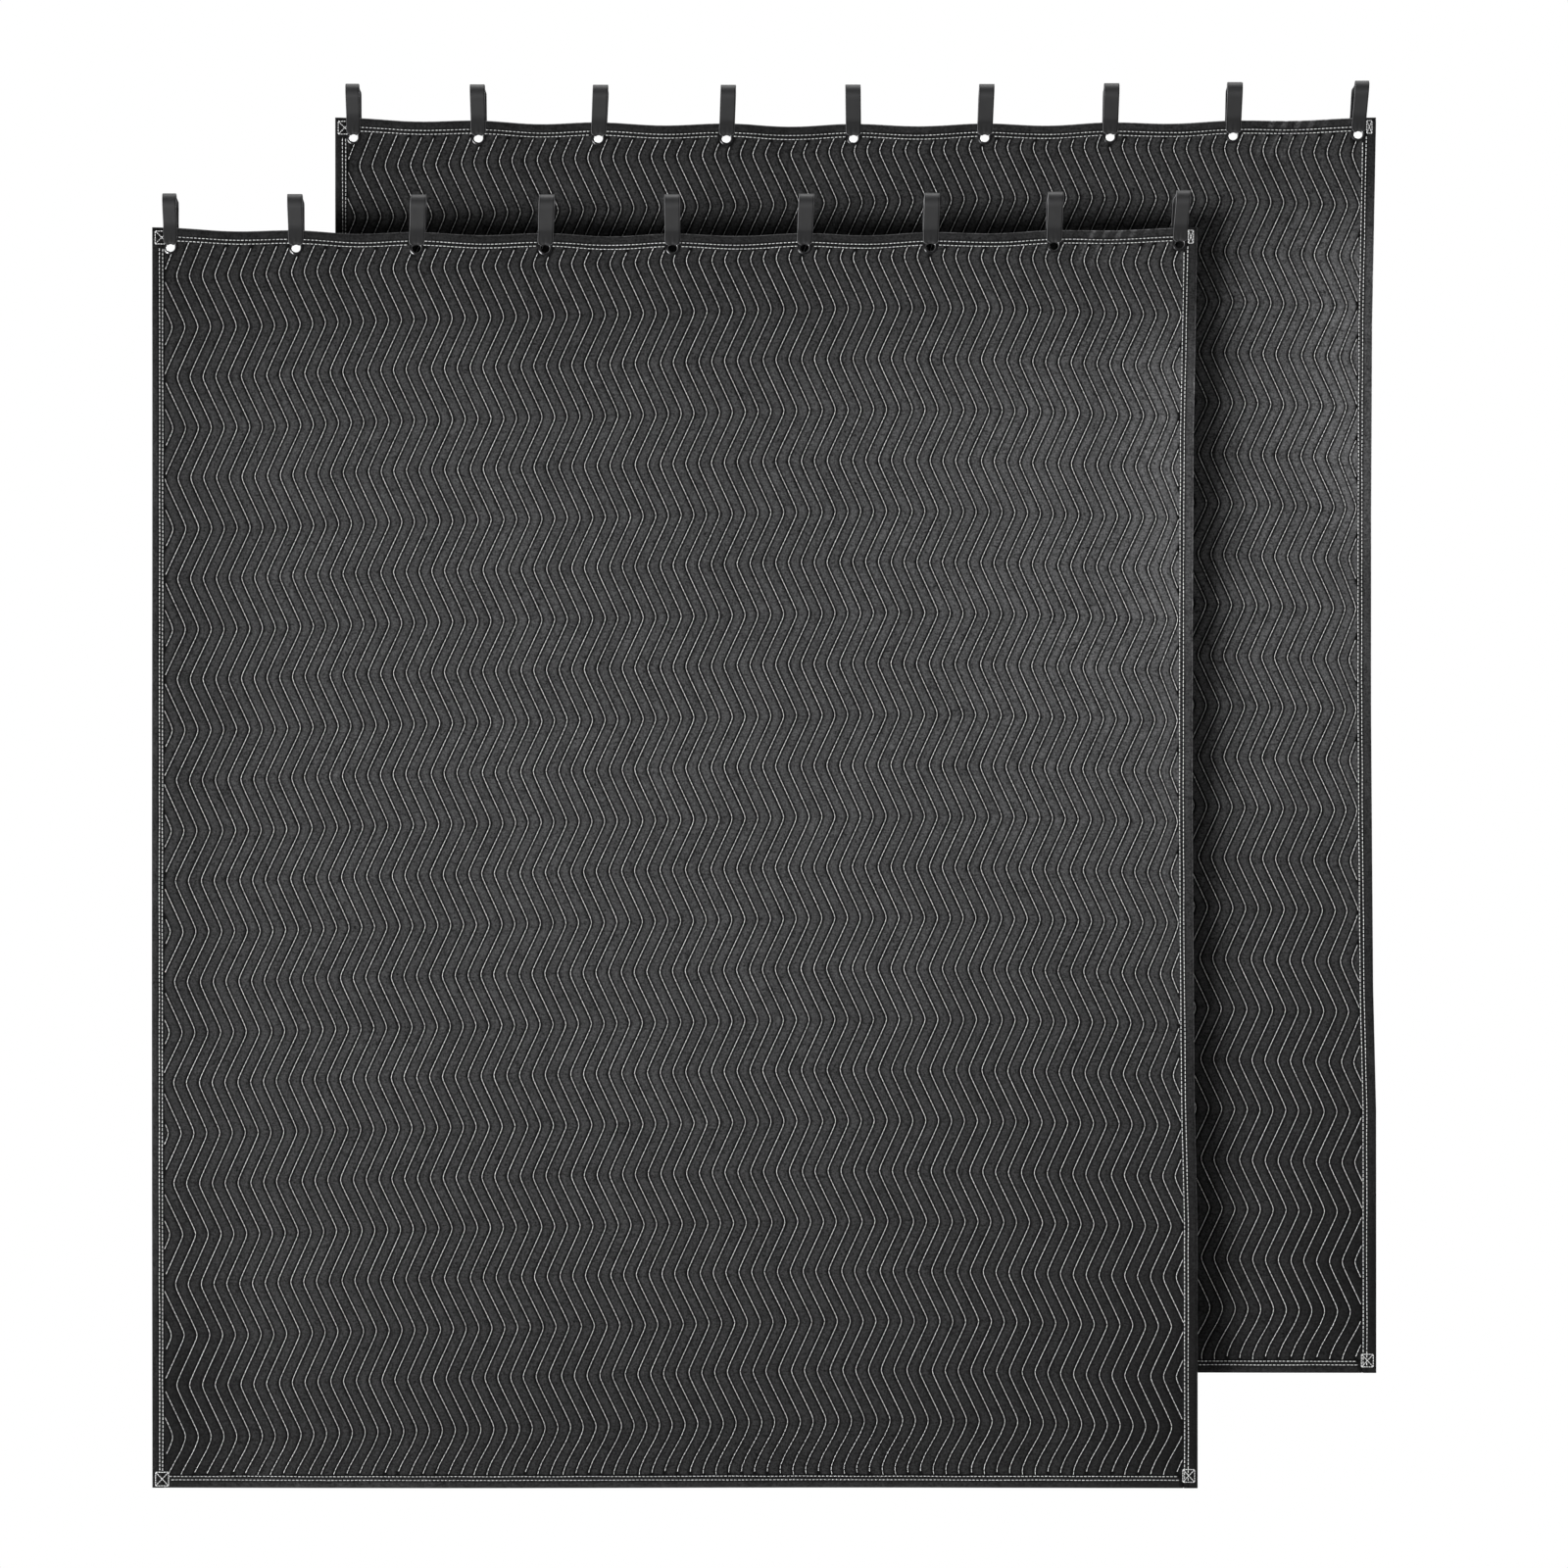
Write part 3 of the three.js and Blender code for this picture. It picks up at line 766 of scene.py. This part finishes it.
def quilting_rows():
    """The stitched part of every quilting line on the front of the panel."""
    rows = []
    run = turn_rows(FRONT_ROWS)
    for line in range(-1, LINE_COUNT + 2):
        flat_x, flat_z = quilting_line(np.full(run.shape, float(line)), run)
        x, z = hang(flat_x, flat_z)
        y = cloth_middle(x, z) - face_half(np.zeros(x.shape), x, z, GROOVE_HALF, CREST_HALF)
        row = stitched_row(np.column_stack([x, y, z]), STITCH_STEP, STITCH_GAP, 100 + line)
        mx, mz = row[0][:, 0], row[0][:, 2]
        keep = (past_bindings(mx, mz) > 2) & (from_eyelets(mx, mz) > EYELET_RADIUS + 1.5)
        rows.append([values[keep] for values in row])
    return together(rows)


def binding_rows():
    """The double rows along the bindings and the crossed squares at the corners, in front."""
    rows = []
    seed = 300
    for side, seams in SEAMS.items():
        for inwards in seams:
            if side in ("top", "bottom"):
                at = np.arange(-HALF_WIDTH + 32, HALF_WIDTH - (23 if side == "bottom" else 35), 3.0)
            else:
                at = np.arange(TOP_Z - 36, BOTTOM_Z + (4 if side == "right" else 25), -3.0)
            wander = 0.5 * lumps(at, at * 0 + inwards, 60, 10, seed)
            path = strip_place(side, at, inwards + wander, -2.75)
            row = stitched_row(path, SEAM_STEP, SEAM_GAP, seed)
            keep = from_eyelets(row[0][:, 0], row[0][:, 2]) > EYELET_RADIUS + 2
            rows.append([values[keep] for values in row])
            seed += 1
    for left, right, low, high in CORNER_SQUARES:
        corners = [(left, low), (right, low), (right, high), (left, high)]
        lines = [(corners[i], corners[(i + 1) % 4]) for i in range(4)]
        lines += [(corners[0], corners[2]), (corners[1], corners[3])]
        for (ax, az), (bx, bz) in lines:
            share = np.linspace(0, 1, 20)
            x, z = ax + (bx - ax) * share, az + (bz - az) * share
            y = cloth_middle(x, z) - BINDING_HALF - 0.1
            length = math.hypot(bx - ax, bz - az)
            count = max(3, round(length / 4.6))
            middle_share = (np.arange(count) + 0.5) / count
            middle = np.stack([np.interp(middle_share, share, v) for v in (x, y, z)], axis=1)
            going = np.repeat([[bx - ax, 0.0, bz - az]], count, axis=0)
            rows.append([middle, going, np.full(count, length / count - 0.7)])
    return together(rows)


# Crossed squares at the corners: left, right, low, high.
CORNER_SQUARES = [
    (-1009.3, -984, -2491, -2464.5),
    (987, 1010, -2483, -2458.5),
    (-1009.8, -984.5, -77, -52),
    (998, 1008, -75.5, -50.5),
]


# Finishes.

def feed(tree, node, values):
    """Links or sets a node's inputs, each by its name or its number."""
    for label, value in values.items():
        if isinstance(value, bpy.types.NodeSocket):
            tree.links.new(value, node.inputs[label])
        else:
            node.inputs[label].default_value = value
    return node


def new_material(name):
    material = bpy.data.materials.new(name)
    material.use_nodes = True
    tree = material.node_tree
    tree.nodes.clear()
    output = tree.nodes.new("ShaderNodeOutputMaterial")
    shader = tree.nodes.new("ShaderNodeBsdfPrincipled")
    tree.links.new(shader.outputs["BSDF"], output.inputs["Surface"])
    vector = tree.nodes.new("ShaderNodeTexCoord").outputs["Object"]
    return material, tree, shader, vector


def new_group(name, inputs, outputs):
    group = bpy.data.node_groups.new(name, "ShaderNodeTree")
    for label, kind, value in inputs:
        socket = group.interface.new_socket(name=label, in_out="INPUT", socket_type=kind)
        if value is not None:
            socket.default_value = value
    for label, kind in outputs:
        group.interface.new_socket(name=label, in_out="OUTPUT", socket_type=kind)
    return group, group.nodes.new("NodeGroupInput"), group.nodes.new("NodeGroupOutput")


def place_group(tree, group, values):
    node = tree.nodes.new("ShaderNodeGroup")
    node.node_tree = group
    return feed(tree, node, values)


def maths(tree, operation, *values):
    node = tree.nodes.new("ShaderNodeMath")
    node.operation = operation
    return feed(tree, node, dict(enumerate(values))).outputs[0]


def times(tree, first, *others):
    """All the values multiplied together."""
    for other in others:
        first = maths(tree, "MULTIPLY", first, other)
    return first


def swung(tree, value, size, base):
    """A base made larger or smaller by a noise about its middle."""
    return maths(tree, "MULTIPLY_ADD", maths(tree, "SUBTRACT", value, 0.5), size, base)


def noise(tree, vector, scale, detail=2.0, roughness=0.5):
    node = tree.nodes.new("ShaderNodeTexNoise")
    feed(tree, node, {"Vector": vector, "Scale": scale, "Detail": detail, "Roughness": roughness})
    return node.outputs["Fac"]


def spread(tree, value, *limits):
    """A value taken from two limits to two others."""
    node = tree.nodes.new("ShaderNodeMapRange")
    labels = ("From Min", "From Max", "To Min", "To Max")
    feed(tree, node, {"Value": value, **dict(zip(labels, limits))})
    return node.outputs["Result"]


def stretched(tree, vector, scale):
    node = tree.nodes.new("ShaderNodeMapping")
    return feed(tree, node, {"Vector": vector, "Scale": scale}).outputs["Vector"]


def tinted(tree, colour, value):
    """A fixed colour made lighter or darker by a value about 1."""
    node = tree.nodes.new("ShaderNodeVectorMath")
    node.operation = "SCALE"
    return feed(tree, node, {0: colour, "Scale": value}).outputs["Vector"]


def bump(tree, shader, height, distance, strength=1.0):
    node = tree.nodes.new("ShaderNodeBump")
    feed(tree, node, {"Strength": strength, "Distance": distance, "Height": height})
    tree.links.new(node.outputs["Normal"], shader.inputs["Normal"])


def woven_grain():
    """Woven cloth: a fine plain weave with slubs, and slow blotches of nap and dust."""
    group, entry, leave = new_group(
        "woven grain",
        [("Vector", "NodeSocketVector", None), ("Weave", "NodeSocketFloat", 900.0),
         ("Blotch", "NodeSocketFloat", 0.2)],
        [("Shade", "NodeSocketFloat"), ("Height", "NodeSocketFloat")],
    )
    vector = entry.outputs["Vector"]
    apart = group.nodes.new("ShaderNodeSeparateXYZ")
    group.links.new(vector, apart.inputs[0])
    warp = maths(group, "SINE", times(group, apart.outputs["X"], entry.outputs["Weave"]))
    weft = maths(group, "SINE", times(group, apart.outputs["Z"], entry.outputs["Weave"]))
    weave = times(group, warp, weft)
    grain = noise(group, vector, 300.0, 3.0, 0.65)
    slubs = noise(group, stretched(group, vector, (1.0, 1.0, 2.5)), 110.0, 2.0)
    patches = noise(group, vector, 34.0, 3.0, 0.6)
    shade = maths(group, "MULTIPLY_ADD", weave, 0.04, 1.0)
    shade = swung(group, grain, 3.8, shade)
    shade = swung(group, slubs, 1.9, shade)
    shade = swung(group, patches, entry.outputs["Blotch"], shade)
    height = maths(group, "MULTIPLY_ADD", weave, 0.25, times(group, grain, 1.2))
    feed(group, leave, {"Shade": shade, "Height": height})
    return group


def fine_wrinkles():
    """Fine wrinkles that lie across the cloth in some places and are gone in others."""
    group, entry, leave = new_group(
        "fine wrinkles",
        [("Vector", "NodeSocketVector", None), ("Long", "NodeSocketVector", None)],
        [("Height", "NodeSocketFloat")],
    )
    vector = entry.outputs["Vector"]
    drawn = group.nodes.new("ShaderNodeVectorMath")
    drawn.operation = "MULTIPLY"
    feed(group, drawn, {0: vector, 1: entry.outputs["Long"]})
    ridges = noise(group, drawn.outputs["Vector"], 1.0, 2.0, 0.55)
    where = spread(group, noise(group, vector, 5.0, 2.0), 0.45, 0.68, 0.12, 1.0)
    feed(group, leave, {"Height": times(group, ridges, where)})
    return group


def eased(tree, value, *limits):
    result = spread(tree, value, *limits)
    result.node.interpolation_type = "SMOOTHSTEP"
    return result


# The slanting measure, in metres, that counts the painted highlights on small folds near the upper right
# corner.
FOLD_HIGHLIGHT_ACROSS = 2.032
FOLD_HIGHLIGHT_DOWN = 1.097
FOLD_HIGHLIGHT_START = 1.828
FOLD_HIGHLIGHT_STEP = 0.026


def painted_light_and_shade():
    """Painted light and shade in the cloth's colour: paler down the upper right, darker near the top and
    towards the foot.
    """
    group, entry, leave = new_group(
        "painted light and shade",
        [("Across", "NodeSocketFloat", 0.5), ("Down", "NodeSocketFloat", 0.5)],
        [("Shade", "NodeSocketFloat")],
    )
    wide, deep = entry.outputs["Across"], entry.outputs["Down"]
    # Every factor below is painted light or shade, not a real change in the cloth's colour.
    top = eased(group, deep, 0.0, 0.17, 0.46, 0.97)
    foot = times(group, eased(group, deep, 0.35, 1.05, 0.98, 0.5),
                 eased(group, deep, 0.86, 0.99, 1.0, 0.82))
    left = eased(group, wide, 0.0, 0.13, 0.65, 1.0)
    paler = eased(group, deep, 0.3, 0.8, 0.54, -0.36)
    right = maths(group, "MULTIPLY_ADD", eased(group, wide, 0.45, 1.0, 0.0, 1.0), paler, 1.0)
    # Painted shade makes the two lower corners darker still, and a painted highlight makes the cloth
    # palest where it curls.
    low = eased(group, deep, 0.74, 0.94, 0.0, 1.0)
    sides = maths(group, "MAXIMUM", eased(group, wide, 0.0, 0.13, 0.65, 0.0),
                  eased(group, wide, 0.87, 1.0, 0.0, 0.6))
    corners = maths(group, "SUBTRACT", 1.0, times(group, sides, low))
    curl = times(group, eased(group, wide, 0.9, 0.97, 0.0, 0.37),
                 eased(group, deep, 0.04, 0.1, 0.0, 1.0), eased(group, deep, 0.27, 0.37, 1.0, 0.0))
    # Painted highlights make the crests of small slanting folds near the upper right corner pale.
    slant = maths(group, "MULTIPLY_ADD", wide, FOLD_HIGHLIGHT_ACROSS, times(group, deep, FOLD_HIGHLIGHT_DOWN))
    turn = times(group, maths(group, "SUBTRACT", slant, FOLD_HIGHLIGHT_START), 2 * math.pi / FOLD_HIGHLIGHT_STEP)
    rubbed = times(
        group, eased(group, maths(group, "COSINE", turn), -0.2, 1.0, 0.0, 2.2),
        eased(group, slant, FOLD_HIGHLIGHT_START - 0.016, FOLD_HIGHLIGHT_START, 0.0, 1.0),
        eased(group, slant, FOLD_HIGHLIGHT_START + 0.06, FOLD_HIGHLIGHT_START + 0.13, 1.0, 0.0),
        eased(group, deep, 0.008, 0.032, 1.0, 0.0),
    )
    shade = times(group, top, foot, left, right, corners,
                  maths(group, "ADD", curl, 1.0), maths(group, "ADD", rubbed, 1.0))
    feed(group, leave, {"Shade": shade})
    return group


def map_numbers(tree, map_name):
    """The two numbers that a piece carries in one of its maps."""
    where = tree.nodes.new("ShaderNodeUVMap")
    where.uv_map = map_name
    apart = tree.nodes.new("ShaderNodeSeparateXYZ")
    tree.links.new(where.outputs["UV"], apart.inputs[0])
    return apart.outputs["X"], apart.outputs["Y"]


def painted_light_on_blanket(tree):
    """The painted light and shade at the place on the blanket that the piece carries."""
    wide, deep = map_numbers(tree, "on_blanket")
    return place_group(tree, PAINTED_LIGHT_AND_SHADE, {"Across": wide, "Down": deep}).outputs["Shade"]


GRAIN = woven_grain()
WRINKLES = fine_wrinkles()
PAINTED_LIGHT_AND_SHADE = painted_light_and_shade()
# Colours before the grain and the painted light and shade lighten or darken them.
CLOTH_GREY = (0.053, 0.053, 0.054)
BINDING_GREY = (0.046, 0.046, 0.047)
WEBBING_GREY = (0.0225, 0.0225, 0.0232)
THREAD_WHITE = (0.93, 0.93, 0.93)
EYELET_BLACK = (0.012, 0.012, 0.013)
# A pale grey painted on the eyelets' inner lip as a painted highlight.
LIP_HIGHLIGHT_GREY = (0.2, 0.2, 0.2)
FLOOR_GREY = (0.82, 0.82, 0.81)


def sewn_cloth(name, colour, thread_drawn):
    """The quilted cloth. Beside a quilting line it is darkened by painted groove shade, and on the
    back the stitches themselves are drawn, from the lines that the cloth carries."""
    material, tree, shader, vector = new_material(name)
    grain = place_group(tree, GRAIN, {"Vector": vector, "Weave": 5200.0, "Blotch": 0.7})
    wrinkles = place_group(tree, WRINKLES, {"Vector": vector, "Long": (14.0, 14.0, 150.0)})
    line, run = map_numbers(tree, "along_cloth")
    part = maths(tree, "FRACT", line)
    off_line = maths(tree, "MINIMUM", part, maths(tree, "SUBTRACT", 1.0, part))
    # Painted groove shade: the colour falls to a hundredth right beside each quilting line.
    painted_groove_shade = eased(tree, off_line, 0.075, 0.325, 0.01, 1.0)
    # Painted shade in the fine wrinkles: the colour follows their height, darker in the hollows.
    painted_wrinkle_shade = maths(tree, "MULTIPLY_ADD", wrinkles.outputs["Height"], 0.25, 0.92)
    # The painted light and shade of the whole blanket is laid on here too.
    shade = times(tree, grain.outputs["Shade"], painted_groove_shade, painted_wrinkle_shade, painted_light_on_blanket(tree))
    base = tinted(tree, colour, shade)
    height = maths(tree, "ADD", times(tree, grain.outputs["Height"], 0.25),
                   times(tree, wrinkles.outputs["Height"], 1.6))
    if thread_drawn:
        beat = maths(tree, "FRACT", times(tree, run, 1000 / STITCH_STEP))
        dash = maths(tree, "LESS_THAN", beat, 0.78)
        on_line = spread(tree, off_line, 0.026, 0.042, 1.0, 0.0)
        thread = times(tree, dash, on_line)
        mix = tree.nodes.new("ShaderNodeMix")
        mix.data_type = "RGBA"
        feed(tree, mix, {"Factor": thread, "A": base, "B": (*THREAD_WHITE, 1)})
        base = mix.outputs["Result"]
        height = maths(tree, "MULTIPLY_ADD", thread, 0.6, height)
    feed(tree, shader, {
        "Base Color": base, "Roughness": spread(tree, grain.outputs["Shade"], 0.7, 1.3, 0.86, 0.7),
        "Sheen Weight": 0.03, "Sheen Roughness": 0.5, "Specular IOR Level": 0.1,
    })
    bump(tree, shader, height, 0.0012, 0.6)
    return material


def binding_cloth():
    """Smooth strips, with painted shade where the two seams pull them in, near the side edges, at the
    top and in the wrinkles, and a painted highlight along the fold.
    """
    material, tree, shader, vector = new_material("binding cloth")
    from_seam, from_fold = map_numbers(tree, "along_cloth")
    wide, deep = map_numbers(tree, "on_blanket")
    grain = place_group(tree, GRAIN, {"Vector": vector, "Weave": 6400.0, "Blotch": 0.8})
    wrinkles = place_group(tree, WRINKLES, {"Vector": vector, "Long": (90.0, 60.0, 60.0)})
    # Painted highlight: a pale line along the fold, except near the blanket's left edge and at its foot.
    fold = times(tree, spread(tree, from_fold, 0.0006, 0.0022, 6.0, 0.0),
                 spread(tree, wide, 0.0, 0.03, 0.0, 1.0), spread(tree, deep, 0.97, 0.99, 1.0, 0.0))
    # Painted shade: darker in the wrinkle hollows, beside the two seams, near the left and right edges
    # and near the top; the blanket's painted light and shade is laid on too.
    shade = times(
        tree, grain.outputs["Shade"],
        maths(tree, "MULTIPLY_ADD", wrinkles.outputs["Height"], 0.6, 0.8),
        spread(tree, from_seam, 0.0014, 0.0060, 0.06, 1.0), maths(tree, "ADD", fold, 1.0),
        spread(tree, wide, 0.0, 0.02, 0.72, 1.0), spread(tree, wide, 0.98, 0.99, 1.0, 0.68),
        spread(tree, deep, 0.01, 0.08, 0.72, 1.0), painted_light_on_blanket(tree),
    )
    feed(tree, shader, {
        "Base Color": tinted(tree, BINDING_GREY, shade),
        "Roughness": spread(tree, grain.outputs["Shade"], 0.7, 1.3, 0.75, 0.55),
        "Sheen Weight": 0.03, "Specular IOR Level": 0.12,
    })
    height = maths(tree, "ADD", times(tree, grain.outputs["Height"], 0.2),
                   times(tree, wrinkles.outputs["Height"], 2.0))
    bump(tree, shader, height, 0.0012, 0.7)
    return material


def strap_webbing():
    """Smooth webbing: fine ribs, darker near its edges with a painted highlight along the very edge, and
    painted light where it bends over.
    """
    material, tree, shader, vector = new_material("strap webbing")
    wide, from_bar = map_numbers(tree, "along_cloth")
    ribs = maths(tree, "SINE", times(tree, wide, 2 * math.pi / 0.0021))
    picks = maths(tree, "SINE", times(tree, from_bar, 2 * math.pi / 0.0013))
    weave = maths(tree, "MULTIPLY_ADD", picks, 0.35, ribs)
    side = maths(tree, "ABSOLUTE", wide)
    # Darker in a band near each edge, then a painted highlight along the very edge.
    edge_tone_and_painted_highlight = maths(tree, "ADD", spread(tree, side, 0.0118, 0.0134, 1.0, 0.2),
                     spread(tree, side, 0.0139, 0.0146, 0.0, 6.0))
    shade = swung(tree, noise(tree, vector, 60.0, 2.0), 0.25, 1.0)
    shade = maths(tree, "MULTIPLY_ADD", weave, 0.03, shade)
    # Painted light over the bend: lighter from 8 to 42 mm from the top of the loop, most from 22 to 29
    # mm.
    shade = times(tree, shade, edge_tone_and_painted_highlight, eased(tree, from_bar, 0.008, 0.022, 0.8, 1.7),
                  eased(tree, from_bar, 0.029, 0.042, 1.0, 0.59))
    feed(tree, shader, {
        "Base Color": tinted(tree, WEBBING_GREY, shade),
        "Roughness": spread(tree, weave, -1.3, 1.3, 0.62, 0.5),
        "Sheen Weight": 0.03, "Specular IOR Level": 0.15,
    })
    bump(tree, shader, weave, 0.00015, 0.35)
    return material


def eyelet_metal(name, colour):
    material, tree, shader, vector = new_material(name)
    rubbed = noise(tree, vector, 260.0, 4.0, 0.7)
    shade = spread(tree, rubbed, 0.35, 0.8, 0.8, 1.9)
    feed(tree, shader, {
        "Base Color": tinted(tree, colour, shade),
        "Roughness": spread(tree, rubbed, 0.3, 0.7, 0.1, 0.24), "Metallic": 0.55,
        "Specular IOR Level": 0.8, "Coat Weight": 0.6, "Coat Roughness": 0.12,
    })
    bump(tree, shader, rubbed, 0.0002, 0.3)
    return material


def white_thread():
    material, tree, shader, vector = new_material("white thread")
    worn = noise(tree, vector, 18.0, 3.0, 0.7)
    twist = noise(tree, vector, 1500.0, 1.0)
    shade = swung(tree, twist, 0.2, spread(tree, worn, 0.3, 0.7, 0.74, 1.06))
    feed(tree, shader, {
        "Base Color": tinted(tree, THREAD_WHITE, shade),
        "Roughness": spread(tree, twist, 0.3, 0.7, 0.5, 0.75), "Sheen Weight": 0.2,
    })
    bump(tree, shader, twist, 0.0002, 0.4)
    return material


CLOTH = sewn_cloth("quilted cloth", CLOTH_GREY, False)
CLOTH_BACK = sewn_cloth("quilted cloth back", CLOTH_GREY, True)
BINDING = binding_cloth()
WEBBING = strap_webbing()
METAL = eyelet_metal("black eyelet metal", EYELET_BLACK)
# The inner lip of each eyelet carries a painted highlight in its colour.
PAINTED_LIP_HIGHLIGHT = eyelet_metal("eyelet lip painted highlight", LIP_HIGHLIGHT_GREY)
THREAD = white_thread()


# Putting the blankets together.

def front_pieces():
    """The front blanket's pieces, each with the nodes it stands for and its finish."""
    points, marks, faces, slots = panel_shape()
    panel = make_piece("front_quilted_panel", points, faces, [CLOTH, CLOTH_BACK], slots, marks)
    made = [("quilted_panel", panel, ["panel"], "quilted_cloth")]
    strips = []
    for side in SEAMS:
        points, faces, marks = binding_strip(side)
        strip = make_piece(f"front_{side}_binding_strip", points, faces, [BINDING], marks=marks)
        strips.append(strip)
        made.append((f"{side}_binding_strip", strip, [f"binding_{side}"], "binding_cloth"))
    cut_eyelet_holes([panel, strips[0], strips[2], strips[3]])
    ring = eyelet_ring()
    ring.data.materials.append(METAL)
    ring.data.materials.append(PAINTED_LIP_HIGHLIGHT)
    # Faces on the front of the inner lip take the painted highlight.
    for face in ring.data.polygons:
        from_middle = math.hypot(face.center.x, face.center.z)
        on_lip = face.center.y < -3.3 * MM and from_middle < LIP_RADIUS * MM
        face.material_index = 1 if on_lip else 0
    for strap in range(len(STRAPS)):
        points, faces, marks = strap_shape(strap)
        number = strap + 1
        loop = make_piece(f"front_webbing_loop_{number}", points, faces, [WEBBING], marks=marks)
        loop.visible_shadow = False
        made.append((f"webbing_loop_{number}", loop, [f"strap_{number}"], "webbing"))
        eyelet = own_copy(ring, f"front_rolled_eyelet_{number}", eyelet_place(strap))
        made.append((f"rolled_eyelet_{number}", eyelet, [f"eyelet_{number}"], "eyelet_metal"))
    bpy.data.objects.remove(ring, do_unlink=True)
    for name, (middle, going, length), width, lift in (
        ("quilting_stitches", quilting_rows(), THREAD_WIDTH, THREAD_LIFT),
        ("binding_stitches", binding_rows(), SEAM_THREAD_WIDTH, 0.05),
    ):
        points, faces = thread_pieces(middle, going, length, width, lift)
        thread = make_piece(f"front_{name}", points, faces, [THREAD])
        made.append((name, thread, [], "thread"))
    return made


def hang_blankets():
    front = front_pieces()
    rear = [(name, own_copy(piece, f"rear_{name}", REAR_SHIFT), nodes, slot)
            for name, piece, nodes, slot in front]
    for blanket, made in (("front", front), ("rear", rear)):
        for _, piece, nodes, slot in made:
            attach(piece, "root")
            if nodes:
                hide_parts(*[f"{blanket}_{node}" for node in nodes])


hang_blankets()


# The studio.

# Suns: the side that each shines from, its strength and how wide it is in degrees.
SUNS = [
    ("key", (-1.1, -1, -0.68), 2.4, 34),
    ("top", (0, 0.35, 1), 3.7, 20),
    ("back", (0.5, 1, 0.35), 2.6, 30),
]
# A bank of soft spots from the key's side, aimed at the upper right of the blankets.
BANK = [(0.85, 0.5), (1.35, 0.5), (0.85, 0.86), (1.35, 0.86)]
BANK_AIM = np.array([0.6, 0, -0.8])
BANK_DISTANCE = 6
BANK_POWER = 228
# A disk whose glint shows in the eyelets alone.
GLINT_AIM = np.array([0.2, 0, -1.0])
GLINT_SIDE = np.array([-0.75, -1, -0.55])
GLINT_DISTANCE = 6
# The camera stands straight in front, and its frame is this wide at the blankets.
VIEW_X, VIEW_Z = 0.2122, -1.1268
VIEW_DISTANCE = 16.0
FRAME_WIDTH = 3.048
SENSOR_WIDTH = 36
FILL_STRENGTH = 0.135


def studio():
    eye = bpy.data.cameras.new("eye")
    eye.sensor_width = SENSOR_WIDTH
    eye.lens = SENSOR_WIDTH * VIEW_DISTANCE / FRAME_WIDTH
    eye.clip_end = 100
    camera = add_object("eye", eye)
    camera.location = (VIEW_X, -VIEW_DISTANCE, VIEW_Z)
    camera.rotation_euler = (math.pi / 2, 0, 0)
    bpy.context.scene.camera = camera

    world = bpy.data.worlds.new("white studio")
    bpy.context.scene.world = world
    world.use_nodes = True
    tree = world.node_tree
    tree.nodes.clear()
    output = tree.nodes.new("ShaderNodeOutputWorld")
    fill, seen = (
        feed(tree, tree.nodes.new("ShaderNodeBackground"), {"Color": (1, 1, 1, 1), "Strength": strength})
        for strength in (FILL_STRENGTH, 1.0)
    )
    kind = tree.nodes.new("ShaderNodeLightPath")
    mix = tree.nodes.new("ShaderNodeMixShader")
    tree.links.new(kind.outputs["Is Camera Ray"], mix.inputs["Fac"])
    tree.links.new(fill.outputs[0], mix.inputs[1])
    tree.links.new(seen.outputs[0], mix.inputs[2])
    tree.links.new(mix.outputs[0], output.inputs["Surface"])

    for name, side, strength, angle in SUNS:
        sun = bpy.data.lights.new(name, "SUN")
        sun.energy = strength
        sun.angle = math.radians(angle)
        place_lamp(sun, (0, 0, 0), side)

    for number, (lean_x, lean_z) in enumerate(BANK):
        spot = bpy.data.lights.new(f"bank {number}", "SPOT")
        side = np.array([-lean_x, -1, -lean_z])
        spot.energy = BANK_POWER * float(side @ side)
        spot.shadow_soft_size = 1.6
        spot.spot_size = math.radians(42)
        spot.spot_blend = 1.0
        place_lamp(spot, BANK_AIM + BANK_DISTANCE * side, side)

    glint = bpy.data.lights.new("glint", "AREA")
    glint.shape = "DISK"
    glint.size = 0.8
    glint.energy = 420
    lamp = place_lamp(glint, GLINT_AIM + GLINT_DISTANCE * GLINT_SIDE, GLINT_SIDE)
    lamp.visible_diffuse = False

    bpy.ops.object.select_all(action="DESELECT")
    bpy.ops.mesh.primitive_plane_add(size=1, location=(0.2, -0.9, -2.8))
    floor = bpy.context.active_object
    floor.name = "pale_floor"
    floor.scale = (6, 4.2, 1)
    bpy.ops.object.transform_apply(location=True, rotation=True, scale=True)
    floor.visible_shadow = False
    pale, tree, shader, vector = new_material("pale floor")
    shade = spread(tree, noise(tree, vector, 1.5), 0.3, 0.7, 0.97, 1.02)
    feed(tree, shader, {"Base Color": tinted(tree, FLOOR_GREY, shade), "Roughness": 0.6})
    floor.data.materials.append(pale)

    bpy.context.scene.view_settings.view_transform = "Standard"


def place_lamp(light, place, side):
    """Hangs a lamp so that it shines from that side towards the blankets."""
    lamp = add_object(light.name, light)
    lamp.location = place
    lamp.rotation_euler = Vector(side).to_track_quat("Z", "Y").to_euler()
    lamp.visible_camera = False
    return lamp


studio()
